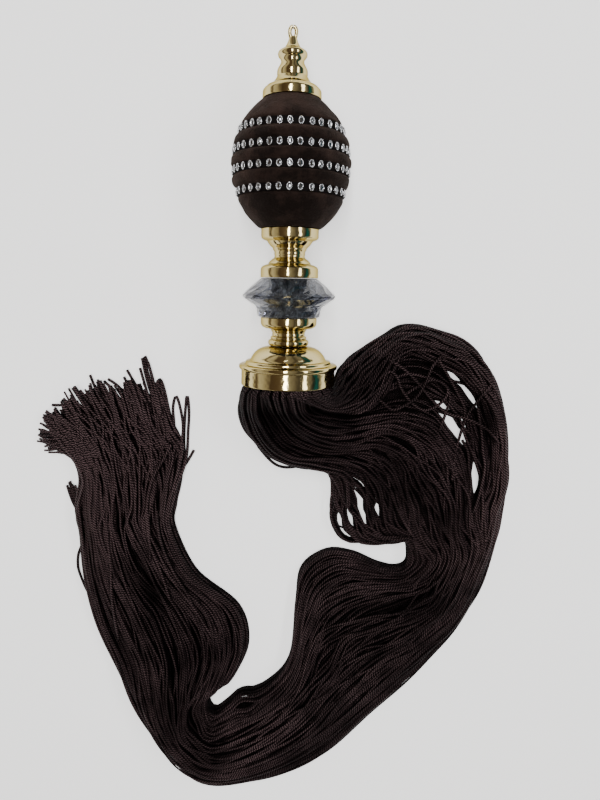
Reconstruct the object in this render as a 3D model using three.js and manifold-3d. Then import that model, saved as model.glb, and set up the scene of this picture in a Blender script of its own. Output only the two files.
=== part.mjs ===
// A curtain holdback: a key tassel lying on its side on a flat surface.
// Millimetres. +Z is up, +Y runs along the stem to the hanging eye, +X is to the right.
// The origin is the small flat spot under the velvet ball.
import * as THREE from "three";
import { mergeVertices } from "three/addons/utils/BufferGeometryUtils.js";
import Module from "manifold-3d";

const wasm = await Module();
wasm.setup();

// Driving dimensions
const BALL_RADIUS = 37.2; // over the puffed ridges
const BALL_HALF_LENGTH = 43.3; // of the ellipsoid that the ball follows
const BALL_MIDDLE = -1.0; // of that ellipsoid, along the stem
const BALL_TOP = 36.6; // flat end under the top cap, along the stem
const BALL_BOTTOM = -38.0; // flat end on the upper spool
const RIDGE_PUFF = 0.6; // how far a ridge swells over the ball's plain ellipsoid
const CREST_HALF_WIDTH = 1.4; // of a ridge between two grooves
const CREST_FALL = 0.15; // from the crest's middle to its edges
const BELOW_GROOVES = [-34.5, -30, -25]; // stations of the plain ball on the skirt's side
const ABOVE_GROOVES = [25, 29.5, 33.6]; // and on the eye's side
const FLAT_SPOT_DEPTH = 0.4; // velvet pressed flat where the ball rests
const GROOVE_WIDTH = 5.0;
const GROOVE_DEPTH = 1.6;
const GROOVE_LIP = 0.7;
const STRIP_WIDTH = 4.2;
const STRIP_THICKNESS = 0.8;
const STEM_TILT = THREE.MathUtils.degToRad(2.4); // the ball is fatter than the bell
const GAP = 0.3; // between pieces that touch

const EYE_CENTRE = 74.2; // along the stem
const EYE_HALF_WIDTH = 3.5;
const EYE_HALF_LENGTH = 4.7;
const EYE_HOLE_HALF_WIDTH = 1.5;
const EYE_HOLE_HALF_LENGTH = 3.2;
const EYE_THICKNESS = 1.8; // between its bevels
const EYE_BEVEL = 0.6;

const BELL_INNER_RADIUS = 28.6;
const PLUG_TOP = -126.5; // the strands' bound heads inside the bell
const PLUG_BOTTOM = -133.5;
const ROOT_STATION = -131; // where the locks start, inside the bound heads
const MOUTH_STATION = -137.4; // just past the bell's lip
const MOUTH_RADIUS = 26.4; // of the bundle of locks there

const LAYERS = 2; // of locks, one on the other
const LOCKS_IN_LAYER = 20;
const LAYER_REACH = 0.98; // of half the skirt's width, to the outermost corners
const LOCK_SLIT = 0.6; // between neighbouring locks
const SLIMMEST = 0.3; // a lock keeps at least this share of its size beside the slit
const EDGE_HEIGHT = 0.32; // of the skirt at its edges, over its height at the middle
const TIP_REACH = 31; // how far the middle of the cut ends runs past a straight line
const TIP_SCATTER = 7; // unevenness of the cut ends
const SCATTER_STRIDE = 0.618; // from one end's share of that unevenness to the next one's

const ROUND_STEPS = 32;
const SPOOL_STEPS = 28;
const CAP_STEPS = 24;
const CRYSTAL_FACETS = 20;
const EYE_STEPS = 12; // to half of an ellipse
const WELD_DISTANCE = 1e-4; // of corners that are one

// Grooves of the ball that hold the strips of stones, along the stem
const GROOVES = [
  { name: "stone_strip_1", at: 18.2 },
  { name: "stone_strip_2", at: 6.4 },
  { name: "stone_strip_3", at: -5.2 },
  { name: "stone_strip_4", at: -17.4 },
];

// Outlines of the turned pieces: place along the stem and radius
const TOP_CAP = [
  { at: BALL_TOP + GAP, r: 0 },
  { at: BALL_TOP + GAP, r: 17.8 },
  { at: 41.0, r: 17.6 },
  { at: 43.2, r: 16.6 },
  { at: 44.2, r: 15.4 },
  { at: 45.2, r: 13.2 },
  { at: 47.0, r: 11.2 },
  { at: 49.2, r: 9.6 },
  { at: 50.8, r: 9.1 },
  { at: 52.8, r: 9.4 },
  { at: 55.0, r: 8.6 },
  { at: 56.6, r: 7.4 },
  { at: 58.1, r: 6.8 },
  { at: 59.8, r: 7.3 },
  { at: 61.0, r: 8.4 },
  { at: 62.4, r: 8.8 },
  { at: 63.8, r: 8.3 },
  { at: 64.9, r: 6.9 },
  { at: 65.4, r: 5.2 },
  { at: 67.4, r: 3.8 },
  { at: 69.4, r: 2.9 },
  { at: 71.2, r: 2.2 },
  { at: 71.2, r: 0 },
];
const UPPER_SPOOL = [
  { at: -68.5, r: 0 },
  { at: -68.5, r: 18.3 },
  { at: -62.6, r: 18.3 },
  { at: -61.4, r: 17.6 },
  { at: -60.4, r: 15.8 },
  { at: -59.6, r: 13.4 },
  { at: -57.2, r: 11.0 },
  { at: -55.9, r: 9.7 },
  { at: -53.2, r: 9.7 },
  { at: -52.2, r: 10.4 },
  { at: -50.5, r: 11.2 },
  { at: -48.3, r: 13.2 },
  { at: -46.0, r: 14.4 },
  { at: -45.2, r: 16.8 },
  { at: -43.8, r: 18.1 },
  { at: BALL_BOTTOM - GAP, r: 18.1 },
  { at: BALL_BOTTOM - GAP, r: 0 },
];
const CRYSTAL = [
  { at: -93.0, r: 0 },
  { at: -93.0, r: 19.9 },
  { at: -87.4, r: 20.4 },
  { at: -85.4, r: 22.8 },
  { at: -81.3, r: 28.6 },
  { at: -79.5, r: 29.7 },
  { at: -77.9, r: 28.2 },
  { at: -68.8, r: 18.2 },
  { at: -68.8, r: 0 },
];
const LOWER_SPOOL = [
  { at: -111.3, r: 0 },
  { at: -111.3, r: 11.8 },
  { at: -110.6, r: 12.8 },
  { at: -109.1, r: 13.2 },
  { at: -107.6, r: 12.7 },
  { at: -106.9, r: 11.2 },
  { at: -105.8, r: 10.3 },
  { at: -103.2, r: 10.7 },
  { at: -101.0, r: 11.6 },
  { at: -100.2, r: 12.6 },
  { at: -99.6, r: 16.0 },
  { at: -98.2, r: 17.6 },
  { at: -93.3, r: 18.0 },
  { at: -93.3, r: 0 },
];
const BELL = [
  { at: -114.4, r: 0 },
  { at: -116.0, r: 16.0 },
  { at: -119.6, r: 21.8 },
  { at: -124.5, r: BELL_INNER_RADIUS },
  { at: -136.4, r: BELL_INNER_RADIUS },
  { at: -136.4, r: 30.8 },
  { at: -135.6, r: 30.3 },
  { at: -126.2, r: 30.3 },
  { at: -125.2, r: 31.8 },
  { at: -123.2, r: 31.8 },
  { at: -122.4, r: 28.0 },
  { at: -120.9, r: 27.4 },
  { at: -120.4, r: 24.4 },
  { at: -118.4, r: 23.4 },
  { at: -116.2, r: 22.0 },
  { at: -114.0, r: 19.8 },
  { at: -112.5, r: 17.0 },
  { at: -111.6, r: 13.4 },
  { at: -111.6, r: 0 },
];

// Sections of the skirt, from the bell's mouth to the cut ends. Each is an upright slice that runs
// from its outer edge through its middle to its inner edge. Then come the height at the middle, the
// height that the underside is off the surface, and how round the underside is.
const SKIRT_SECTIONS = [
  { outX: 31, outY: -141, midX: -1, midY: -144, inX: -35, inY: -147, high: 57, lift: 3, round: 1 },
  { outX: 34, outY: -143.5, midX: 14, midY: -158, inX: -30, inY: -177, high: 47, lift: 1, round: 0.6 },
  { outX: 38.5, outY: -139.5, midX: 36, midY: -163, inX: -14, inY: -197, high: 36, lift: 0, round: 0.2 },
  { outX: 40, outY: -127, midX: 58, midY: -158, inX: 2, inY: -199, high: 28, lift: 0, round: 0 },
  { outX: 51, outY: -110, midX: 76, midY: -152, inX: 18, inY: -206, high: 22, lift: 0, round: 0 },
  { outX: 76, outY: -97, midX: 94, midY: -150, inX: 28, inY: -218, high: 18, lift: 0, round: 0 },
  { outX: 103, outY: -96, midX: 109, midY: -155, inX: 32, inY: -236, high: 15, lift: 0, round: 0 },
  { outX: 127, outY: -111, midX: 120, midY: -167, inX: 40, inY: -256, high: 14, lift: 0, round: 0 },
  { outX: 145, outY: -137, midX: 128, midY: -184, inX: 62, inY: -260, high: 14, lift: 0, round: 0 },
  { outX: 156, outY: -171, midX: 132, midY: -207, inX: 83, inY: -255, high: 16, lift: 0, round: 0 },
  { outX: 158, outY: -210, midX: 129, midY: -232, inX: 86.5, inY: -260, high: 19, lift: 0, round: 0 },
  { outX: 153, outY: -244, midX: 123, midY: -257, inX: 87, inY: -267, high: 21, lift: 0, round: 0 },
  { outX: 146, outY: -282, midX: 115, midY: -281, inX: 79, inY: -271.5, high: 20, lift: 0, round: 0 },
  { outX: 138, outY: -304, midX: 107, midY: -296, inX: 65, inY: -268, high: 18, lift: 0, round: 0 },
  { outX: 128, outY: -322, midX: 90, midY: -310, inX: 46, inY: -259.5, high: 16, lift: 0, round: 0 },
  { outX: 114, outY: -341, midX: 73, midY: -320, inX: 27, inY: -256.5, high: 15, lift: 0, round: 0 },
  { outX: 93, outY: -363, midX: 53, midY: -334, inX: 9, inY: -268, high: 14, lift: 0, round: 0 },
  { outX: 67, outY: -388, midX: 34, midY: -354, inX: 6, inY: -299, high: 16, lift: 0, round: 0 },
  { outX: 34, outY: -417, midX: 17, midY: -378, inX: 3, inY: -342, high: 18, lift: 0, round: 0 },
  { outX: 3, outY: -436, midX: -6, midY: -398, inX: -13, inY: -363, high: 20, lift: 0, round: 0 },
  { outX: -32, outY: -447, midX: -33, midY: -412, inX: -35, inY: -375, high: 20, lift: 0, round: 0 },
  { outX: -60, outY: -447, midX: -56, midY: -415, inX: -53, inY: -383, high: 22, lift: 0, round: 0 },
  { outX: -82, outY: -431, midX: -69, midY: -408, inX: -55, inY: -384.5, high: 23, lift: 0, round: 0 },
  { outX: -99, outY: -408, midX: -77, midY: -394, inX: -54, inY: -380, high: 22, lift: 0, round: 0 },
  { outX: -113, outY: -382, midX: -77, midY: -372, inX: -38, inY: -364, high: 20, lift: 0, round: 0 },
  { outX: -126, outY: -352, midX: -76, midY: -342, inX: -25, inY: -335, high: 16, lift: 0, round: 0 },
  { outX: -139, outY: -319, midX: -84, midY: -310, inX: -31, inY: -304, high: 15, lift: 0, round: 0 },
  { outX: -150, outY: -280, midX: -103, midY: -279, inX: -58, inY: -279, high: 16, lift: 0, round: 0 },
  { outX: -153.5, outY: -232, midX: -116, midY: -235, inX: -79, inY: -238, high: 18, lift: 0, round: 0 },
  { outX: -156, outY: -191, midX: -116, midY: -192, inX: -77, inY: -192, high: 15, lift: 0, round: 0 },
  { outX: -175, outY: -188, midX: -121, midY: -171, inX: -70, inY: -156, high: 8, lift: 0, round: 0 },
];

// Finishes
const GOLD = new THREE.MeshStandardMaterial({ color: 0xd2b77a, metalness: 1, roughness: 0.16 });
const VELVET = new THREE.MeshStandardMaterial({ color: 0x3a2b26, metalness: 0, roughness: 0.95 });
const STONES = new THREE.MeshStandardMaterial({ color: 0xc9c9c6, metalness: 0.8, roughness: 0.25 });
const SMOKE = new THREE.MeshStandardMaterial({ color: 0x7d7f92, metalness: 0, roughness: 0.08 });
const YARN = new THREE.MeshStandardMaterial({ color: 0x2b201f, metalness: 0, roughness: 0.6 });

// Solids and geometries

function solidOf(geometry) {
  const bare = geometry.index ? geometry.toNonIndexed() : geometry.clone();
  bare.deleteAttribute("normal");
  bare.deleteAttribute("uv");
  const merged = mergeVertices(bare, WELD_DISTANCE);
  const mesh = new wasm.Mesh({
    numProp: 3,
    vertProperties: new Float32Array(merged.attributes.position.array),
    triVerts: new Uint32Array(merged.index.array),
  });
  return new wasm.Manifold(mesh);
}

function geometryOf(solid) {
  const mesh = solid.getMesh();
  const geometry = new THREE.BufferGeometry();
  geometry.setAttribute("position", new THREE.Float32BufferAttribute(mesh.vertProperties, 3));
  geometry.setIndex(new THREE.Uint32BufferAttribute(mesh.triVerts, 1));
  return geometry;
}

function piece(name, geometry, material) {
  const mesh = new THREE.Mesh(geometry, material);
  mesh.name = name;
  return mesh;
}

// The stem: its local Y axis runs from the ball's middle to the eye
const stem = new THREE.Group();
stem.rotation.x = STEM_TILT;
stem.position.set(
  0,
  -BALL_RADIUS * Math.sin(STEM_TILT),
  (BALL_RADIUS - FLAT_SPOT_DEPTH) * Math.cos(STEM_TILT),
);
stem.updateMatrixWorld(true);

function turned(outline, steps) {
  const points = outline.map((p) => new THREE.Vector2(p.r, p.at));
  return new THREE.LatheGeometry(points, steps);
}

// What would lie under the surface is pressed flat against it
function pressedFlat(geometry) {
  const solid = solidOf(geometry.clone().applyMatrix4(stem.matrixWorld));
  return geometryOf(solid.trimByPlane([0, 0, 1], 0));
}

// The ball and its strips of stones

function ellipsoidRadius(at) {
  const share = (at - BALL_MIDDLE) / BALL_HALF_LENGTH;
  return (BALL_RADIUS - RIDGE_PUFF) * Math.sqrt(1 - share ** 2);
}

function ballOutline() {
  const outline = [
    { at: BALL_BOTTOM, r: 0 },
    { at: BALL_BOTTOM, r: ellipsoidRadius(BALL_BOTTOM) },
  ];
  const add = (at, extra) => outline.push({ at, r: ellipsoidRadius(at) + extra });
  const half = GROOVE_WIDTH / 2;
  const rising = GROOVES.map((g) => g.at).reverse();
  for (const at of BELOW_GROOVES) add(at, RIDGE_PUFF / 2);
  rising.forEach((at, k) => {
    add(at - half - GROOVE_LIP, 0);
    add(at - half, -GROOVE_DEPTH);
    add(at + half, -GROOVE_DEPTH);
    add(at + half + GROOVE_LIP, 0);
    if (k < rising.length - 1) {
      const middle = (at + rising[k + 1]) / 2;
      add(middle - CREST_HALF_WIDTH, RIDGE_PUFF - CREST_FALL);
      add(middle, RIDGE_PUFF);
      add(middle + CREST_HALF_WIDTH, RIDGE_PUFF - CREST_FALL);
    }
  });
  for (const at of ABOVE_GROOVES) add(at, RIDGE_PUFF / 2);
  outline.push({ at: BALL_TOP, r: ellipsoidRadius(BALL_TOP) });
  outline.push({ at: BALL_TOP, r: 0 });
  return outline;
}

function stripOutline(at) {
  const low = at - STRIP_WIDTH / 2;
  const high = at + STRIP_WIDTH / 2;
  const floorRadius = (place) => ellipsoidRadius(place) - GROOVE_DEPTH + GAP;
  return [
    { at: low, r: floorRadius(low) },
    { at: low, r: floorRadius(low) + STRIP_THICKNESS },
    { at: high, r: floorRadius(high) + STRIP_THICKNESS },
    { at: high, r: floorRadius(high) },
    { at: low, r: floorRadius(low) },
  ];
}

// The top cap: a turned finial over a banded cap, with a flat hanging eye

function eyeGeometry() {
  const width = EYE_HALF_WIDTH - EYE_BEVEL;
  const length = EYE_HALF_LENGTH - EYE_BEVEL;
  const shape = new THREE.Shape().absellipse(0, EYE_CENTRE, width, length, 0, 2 * Math.PI);
  const hole = new THREE.Path();
  const holeWidth = EYE_HOLE_HALF_WIDTH + EYE_BEVEL;
  const holeLength = EYE_HOLE_HALF_LENGTH + EYE_BEVEL;
  hole.absellipse(0, EYE_CENTRE, holeWidth, holeLength, 0, 2 * Math.PI, true);
  shape.holes.push(hole);
  const geometry = new THREE.ExtrudeGeometry(shape, {
    depth: EYE_THICKNESS,
    bevelEnabled: true,
    bevelThickness: EYE_BEVEL,
    bevelSize: EYE_BEVEL,
    bevelSegments: 1,
    curveSegments: EYE_STEPS,
  });
  return geometry.translate(0, 0, -EYE_THICKNESS / 2);
}

function topCapGeometry() {
  return geometryOf(solidOf(turned(TOP_CAP, CAP_STEPS)).add(solidOf(eyeGeometry())));
}

// The skirt: locks that leave the bell as a round bundle and lie on the surface in a long S

// A round slice across the stem, at one station
function roundSlice(station) {
  const centre = new THREE.Vector3(0, station, 0).applyMatrix4(stem.matrixWorld);
  return (across, up) => {
    const chord = MOUTH_RADIUS * Math.sqrt(1 - across * across);
    const z = centre.z + chord * (2 * up - 1);
    return new THREE.Vector3(-across * MOUTH_RADIUS, centre.y, z);
  };
}

// An upright slice through three points: across is -1 at the outer edge and 1 at the inner one
function skirtSlice(section) {
  const outer = new THREE.Vector2(section.outX, section.outY);
  const middle = new THREE.Vector2(section.midX, section.midY);
  const inner = new THREE.Vector2(section.inX, section.inY);
  const rise = section.high - section.lift;
  return (across, up) => {
    const place = middle.clone().lerp(across < 0 ? outer : inner, Math.abs(across));
    const arch = Math.sqrt(1 - across * across);
    const flatTop = EDGE_HEIGHT + (1 - EDGE_HEIGHT) * arch;
    const top = THREE.MathUtils.lerp(flatTop, (1 + arch) / 2, section.round);
    const bottom = (section.round * (1 - arch)) / 2;
    const z = section.lift + rise * THREE.MathUtils.lerp(bottom, top, up);
    return new THREE.Vector3(place.x, place.y, z);
  };
}

const SLICES = [
  roundSlice(ROOT_STATION),
  roundSlice(MOUTH_STATION),
  ...SKIRT_SECTIONS.map(skirtSlice),
];

// The cut ends run out past the last slice, furthest at the middle and a little unevenly
function tipShift(across, number) {
  const last = SKIRT_SECTIONS[SKIRT_SECTIONS.length - 1];
  const along = new THREE.Vector2(last.inX - last.outX, last.inY - last.outY).normalize();
  const scatter = TIP_SCATTER * (((number * SCATTER_STRIDE) % 1) - 0.5);
  const reach = TIP_REACH * (1 - across * across) + scatter;
  return new THREE.Vector3(-along.y * reach, along.x * reach, 0);
}

// The three corners of a lock in its slice: locks stand on a base or hang from one by turns, and
// the upper layer mirrors the lower one, so that neighbours share whole sides
function lockCorners(layer, place) {
  const step = (2 * LAYER_REACH) / (LOCKS_IN_LAYER + 1);
  const grid = (k) => -LAYER_REACH + k * step;
  const low = layer / LAYERS;
  const high = (layer + 1) / LAYERS;
  const standing = (place + layer) % 2 === 0;
  const [base, tip] = standing ? [low, high] : [high, low];
  const corners = [
    { across: grid(place), up: base },
    { across: grid(place + 2), up: base },
    { across: grid(place + 1), up: tip },
  ];
  return standing ? corners : corners.toReversed();
}

// A ring of three corners with each side moved in by half the slit between locks
function drawnIn([a, b, c]) {
  const sides = [b.distanceTo(c), c.distanceTo(a), a.distanceTo(b)];
  const around = sides[0] + sides[1] + sides[2];
  const area = new THREE.Triangle(a, b, c).getArea();
  const inradius = (2 * area) / around;
  const middle = new THREE.Vector3();
  [a, b, c].forEach((corner, k) => middle.addScaledVector(corner, sides[k] / around));
  const shrink = Math.max(SLIMMEST, 1 - LOCK_SLIT / 2 / inradius);
  return [a, b, c].map((corner) => corner.clone().sub(middle).multiplyScalar(shrink).add(middle));
}

// A closed skin over rings of three corners. Each side's quads are split along the diagonal that
// leaves from its lower corner, or its outer one, so that the sides of neighbours stay parallel.
function loftGeometry(rings, corners) {
  const sides = corners.length;
  const precedes = (a, b) => a.up < b.up || (a.up === b.up && a.across < b.across);
  const positions = rings.flat().flatMap((p) => [p.x, p.y, p.z]);
  const faces = [];
  for (let k = 0; k + 1 < rings.length; k += 1) {
    for (let s = 0; s < sides; s += 1) {
      const t = (s + 1) % sides;
      const [here, next] = [k * sides + s, k * sides + t];
      const [hereAhead, nextAhead] = [here + sides, next + sides];
      const leading = precedes(corners[s], corners[t]);
      if (leading) faces.push(here, nextAhead, next, here, hereAhead, nextAhead);
      else faces.push(here, hereAhead, next, next, hereAhead, nextAhead);
    }
  }
  const end = (rings.length - 1) * sides;
  faces.push(0, 1, 2, end + 2, end + 1, end);
  const geometry = new THREE.BufferGeometry();
  geometry.setAttribute("position", new THREE.Float32BufferAttribute(positions, 3));
  geometry.setIndex(faces);
  return geometry;
}

// The lowest locks lie level on the surface once they are off the bell
function settle(ring) {
  ring.forEach((corner) => {
    if (corner.z < LOCK_SLIT) corner.z = 0;
  });
}

function lockSolid(layer, place) {
  const corners = lockCorners(layer, place);
  const middle = (corners[0].across + corners[1].across + corners[2].across) / 3;
  const tip = tipShift(middle, layer * LOCKS_IN_LAYER + place);
  const rings = SLICES.map((slice) => drawnIn(corners.map((c) => slice(c.across, c.up))));
  rings[rings.length - 1].forEach((corner) => corner.add(tip));
  rings.forEach(settle);
  return solidOf(loftGeometry(rings, corners));
}

function skirtGeometry() {
  const plug = turned(
    [
      { at: PLUG_BOTTOM, r: 0 },
      { at: PLUG_BOTTOM, r: BELL_INNER_RADIUS - GAP },
      { at: PLUG_TOP, r: BELL_INNER_RADIUS - GAP },
      { at: PLUG_TOP, r: 0 },
    ],
    ROUND_STEPS,
  );
  const parts = [solidOf(plug.applyMatrix4(stem.matrixWorld))];
  for (let layer = 0; layer < LAYERS; layer += 1) {
    for (let place = 0; place < LOCKS_IN_LAYER; place += 1) parts.push(lockSolid(layer, place));
  }
  return geometryOf(wasm.Manifold.union(parts));
}

// The whole holdback

const holdback = new THREE.Group();
holdback.add(stem);
stem.add(piece("top_cap", topCapGeometry(), GOLD));
GROOVES.forEach((groove) => {
  stem.add(piece(groove.name, turned(stripOutline(groove.at), ROUND_STEPS), STONES));
});
stem.add(piece("upper_spool", turned(UPPER_SPOOL, SPOOL_STEPS), GOLD));
stem.add(piece("crystal_disc", turned(CRYSTAL, CRYSTAL_FACETS), SMOKE));
stem.add(piece("lower_spool", turned(LOWER_SPOOL, SPOOL_STEPS), GOLD));
holdback.add(piece("velvet_ball", pressedFlat(turned(ballOutline(), ROUND_STEPS)), VELVET));
holdback.add(piece("bell_cap", pressedFlat(turned(BELL, ROUND_STEPS)), GOLD));
holdback.add(piece("skirt", skirtGeometry(), YARN));

export default holdback;
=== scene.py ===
"""A tassel curtain holdback that lies on its side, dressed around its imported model."""

import math

import bpy
import numpy as np
from bpy.props import FloatProperty, FloatVectorProperty, IntProperty, PointerProperty
from mathutils import Matrix


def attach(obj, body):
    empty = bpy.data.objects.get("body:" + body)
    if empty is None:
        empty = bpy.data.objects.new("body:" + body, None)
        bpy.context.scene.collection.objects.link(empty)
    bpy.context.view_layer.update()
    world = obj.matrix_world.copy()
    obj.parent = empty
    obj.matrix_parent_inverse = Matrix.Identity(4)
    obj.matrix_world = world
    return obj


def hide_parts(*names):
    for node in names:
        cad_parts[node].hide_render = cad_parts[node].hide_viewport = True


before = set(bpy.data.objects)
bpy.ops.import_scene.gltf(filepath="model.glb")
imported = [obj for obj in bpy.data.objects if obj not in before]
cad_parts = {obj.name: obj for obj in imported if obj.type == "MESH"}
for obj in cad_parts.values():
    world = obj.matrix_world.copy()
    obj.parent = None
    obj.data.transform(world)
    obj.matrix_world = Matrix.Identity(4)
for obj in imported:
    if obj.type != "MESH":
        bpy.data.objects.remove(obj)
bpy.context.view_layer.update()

bl_info = {
    "name": "Tassel curtain holdback",
    "version": (1, 0, 0),
    "blender": (4, 5, 0),
    "location": "View3D > Sidebar > Holdback",
    "description": "Builds a tassel curtain holdback around its packed model",
    "category": "Add Mesh",
}

MM = 0.001
BODY = "root"
SEED = 11

# The stem lies at a slight tilt, and its own frame is (right, along, up) from the ball's middle.
STEM_TILT = math.radians(2.4)
BALL_RADIUS = 37.2
FLAT_SPOT_DEPTH = 0.4

# The camera: where it is, mm, and how it is turned, as the photograph was taken.
CAMERA_PLACE = np.array([8.24, -90.8, 439.9])
CAMERA_TILT = math.radians(8.0)
CAMERA_ROLL = math.radians(1.1)
PICTURE_MIDDLE = (300.0, 400.0)
PICTURE_HEIGHT = 800
SENSOR_SIZE = 36.0
LENS = 28.35
FOCAL_PIXELS = LENS / SENSOR_SIZE * PICTURE_HEIGHT


# Sizes and colours that a user would change


class HeadSettings(bpy.types.PropertyGroup):
    gold_colour: FloatVectorProperty(
        name="Gold", description="Colour of the plated pieces", subtype="COLOR",
        default=(0.55, 0.455, 0.225), min=0, max=1)
    velvet_colour: FloatVectorProperty(
        name="Velvet", description="Colour of the velvet in the light", subtype="COLOR",
        default=(0.0162, 0.0093, 0.0074), min=0, max=1)
    crystal_colour: FloatVectorProperty(
        name="Crystal", description="Tint of the clear faceted disc", subtype="COLOR",
        default=(0.040, 0.039, 0.098), min=0, max=1)
    stone_length: FloatProperty(
        name="Stone length", description="Length of an oval stone along the stem",
        default=4.4 * MM, unit="LENGTH", min=0.001)
    stone_width: FloatProperty(
        name="Stone width", description="Width of an oval stone round the ball",
        default=3.3 * MM, unit="LENGTH", min=0.001)
    round_steps: IntProperty(
        name="Steps round", description="Faces round each turned piece", default=112, min=16)


class SkirtSettings(bpy.types.PropertyGroup):
    cord_colour: FloatVectorProperty(
        name="Cord", description="Colour of the cords in the light", subtype="COLOR",
        default=(0.0196, 0.0125, 0.0131), min=0, max=1)
    cord_diameter: FloatProperty(
        name="Cord diameter", description="Thickness of one twisted cord",
        default=1.6 * MM, unit="LENGTH", min=0.0005)
    twist_pitch: FloatProperty(
        name="Twist pitch", description="Length in which one ply goes once round the cord",
        default=3.8 * MM, unit="LENGTH", min=0.001)
    cord_steps: IntProperty(
        name="Steps along", description="Rings along each cord", default=190, min=40)


class StageSettings(bpy.types.PropertyGroup):
    floor_colour: FloatVectorProperty(
        name="Floor", description="Colour of the plain floor", subtype="COLOR",
        default=(0.80, 0.80, 0.80), min=0, max=1)
    key_power: FloatProperty(
        name="Key light", description="Power of the soft light overhead", default=20.0,
        unit="POWER", min=0)
    side_power: FloatProperty(
        name="Side light", description="Power of the soft light from the right", default=8.0,
        unit="POWER", min=0)
    surround: FloatProperty(
        name="Surround", description="Brightness of the plain surround", default=1.1, min=0)


# Meshes


class Shape:
    """Gathers grids of points into one mesh. Each grid is rows of a closed ring of points, and its
    first and last rings are closed with a flat face."""

    def __init__(self):
        self.points, self.corners, self.sizes = [], [], []
        self.finishes, self.smooth, self.maps = [], [], {}
        self.count = 0

    def _faces(self, corners, finish, smooth):
        self.corners.append(corners.reshape(-1))
        faces = corners.reshape(-1, corners.shape[-1])
        self.sizes.append(np.full(len(faces), faces.shape[1]))
        self.finishes.append(np.full(len(faces), finish))
        self.smooth.append(np.full(len(faces), smooth))

    def add(self, grid, finish=0, smooth=True, maps=None):
        """Adds one grid [rows, sides, xyz] or several [n, rows, sides, xyz], in metres. maps holds
        places [n, rows, sides + 1, 2] on named UV maps."""
        grid = grid.reshape((-1,) + grid.shape[-3:])
        n, rows, sides, _ = grid.shape
        row, side = np.meshgrid(np.arange(rows - 1), np.arange(sides), indexing="ij")
        quad_rows = np.stack([row, row, row + 1, row + 1], -1)
        quad_sides = np.stack([side, side + 1, side + 1, side], -1)
        first = self.count + np.arange(n) * rows * sides
        quads = first[:, None, None, None] + quad_rows * sides + quad_sides % sides
        around = np.arange(sides)
        starts = first[:, None] + around[::-1]
        ends = first[:, None] + (rows - 1) * sides + around
        for corners in (quads, starts, ends):
            self._faces(corners, finish, smooth)
        for name, places in (maps or {}).items():
            store = self.maps.setdefault(name, [])
            store.append(places[:, quad_rows, quad_sides].reshape(-1, 2))
            store.append(places[:, 0, around[::-1]].reshape(-1, 2))
            store.append(places[:, -1, around].reshape(-1, 2))
        self.points.append(grid.reshape(-1, 3))
        self.count += n * rows * sides

    def piece(self, name, materials, slot, replaces=()):
        """Makes the mesh object, gives it its finishes, and hides the model's parts that it
        replaces.
        """
        mesh = bpy.data.meshes.new(name)
        points = np.concatenate(self.points)
        corners = np.concatenate(self.corners)
        sizes = np.concatenate(self.sizes)
        mesh.vertices.add(len(points))
        mesh.vertices.foreach_set("co", points.astype(np.float32).reshape(-1))
        mesh.loops.add(len(corners))
        mesh.loops.foreach_set("vertex_index", corners.astype(np.int32))
        mesh.polygons.add(len(sizes))
        mesh.polygons.foreach_set("loop_start", (np.cumsum(sizes) - sizes).astype(np.int32))
        mesh.polygons.foreach_set("material_index", np.concatenate(self.finishes).astype(np.int32))
        mesh.polygons.foreach_set("use_smooth", np.concatenate(self.smooth))
        for map_name, places in self.maps.items():
            layer = mesh.uv_layers.new(name=map_name)
            layer.data.foreach_set("uv", np.concatenate(places).astype(np.float32).reshape(-1))
        for material in materials:
            mesh.materials.append(material)
        mesh.update(calc_edges=True)
        if mesh.validate():
            raise RuntimeError(f"{name} has faulty faces")
        piece = bpy.data.objects.new(name, mesh)
        bpy.context.scene.collection.objects.link(piece)
        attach(piece, BODY)
        if replaces:
            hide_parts(*replaces)
        return piece


def off_stem(points):
    """From the stem's frame, mm, to the part's, metres: a turn by STEM_TILT about the X axis, then
    a lift to the ball's height."""
    sine, cosine = math.sin(STEM_TILT), math.cos(STEM_TILT)
    across, along, up = np.moveaxis(np.asarray(points, float), -1, 0)
    turned_points = np.stack([across, along * cosine - up * sine, along * sine + up * cosine], -1)
    lift = np.array([0, -BALL_RADIUS * sine, (BALL_RADIUS - FLAT_SPOT_DEPTH) * cosine])
    return (turned_points + lift) * MM


def rounded(rows, steps=5):
    """An outline whose corners are rounded. Each row is (along, radius, share): the corner is
    replaced by a parabola that leaves and rejoins the sides at that share of their length."""
    rows = np.array(rows, float)
    points = [rows[0, :2]]
    for before, here, after in zip(rows[:-2], rows[1:-1], rows[2:]):
        start = here[:2] + (before[:2] - here[:2]) * here[2]
        end = here[:2] + (after[:2] - here[:2]) * here[2]
        t = np.linspace(0, 1, steps)[:, None]
        points.extend((1 - t) ** 2 * start + 2 * t * (1 - t) * here[:2] + t ** 2 * end)
    points.append(rows[-1, :2])
    return np.array(points)


def round_stem(along, radius, angle):
    """Points round the stem: (r sin a, along, r cos a)."""
    return np.stack([radius * np.sin(angle), along + 0 * angle, radius * np.cos(angle)], -1)


def turned(outline, steps):
    """An outline of (along, radius) carried round the stem."""
    angle = np.linspace(0, 2 * math.pi, steps, endpoint=False)
    return round_stem(outline[:, 0, None], outline[:, 1, None], angle)


def pressed(points):
    """Nothing lies under the surface: heights below nought become nought."""
    points[..., 2] = np.maximum(points[..., 2], 0)
    return points


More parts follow.
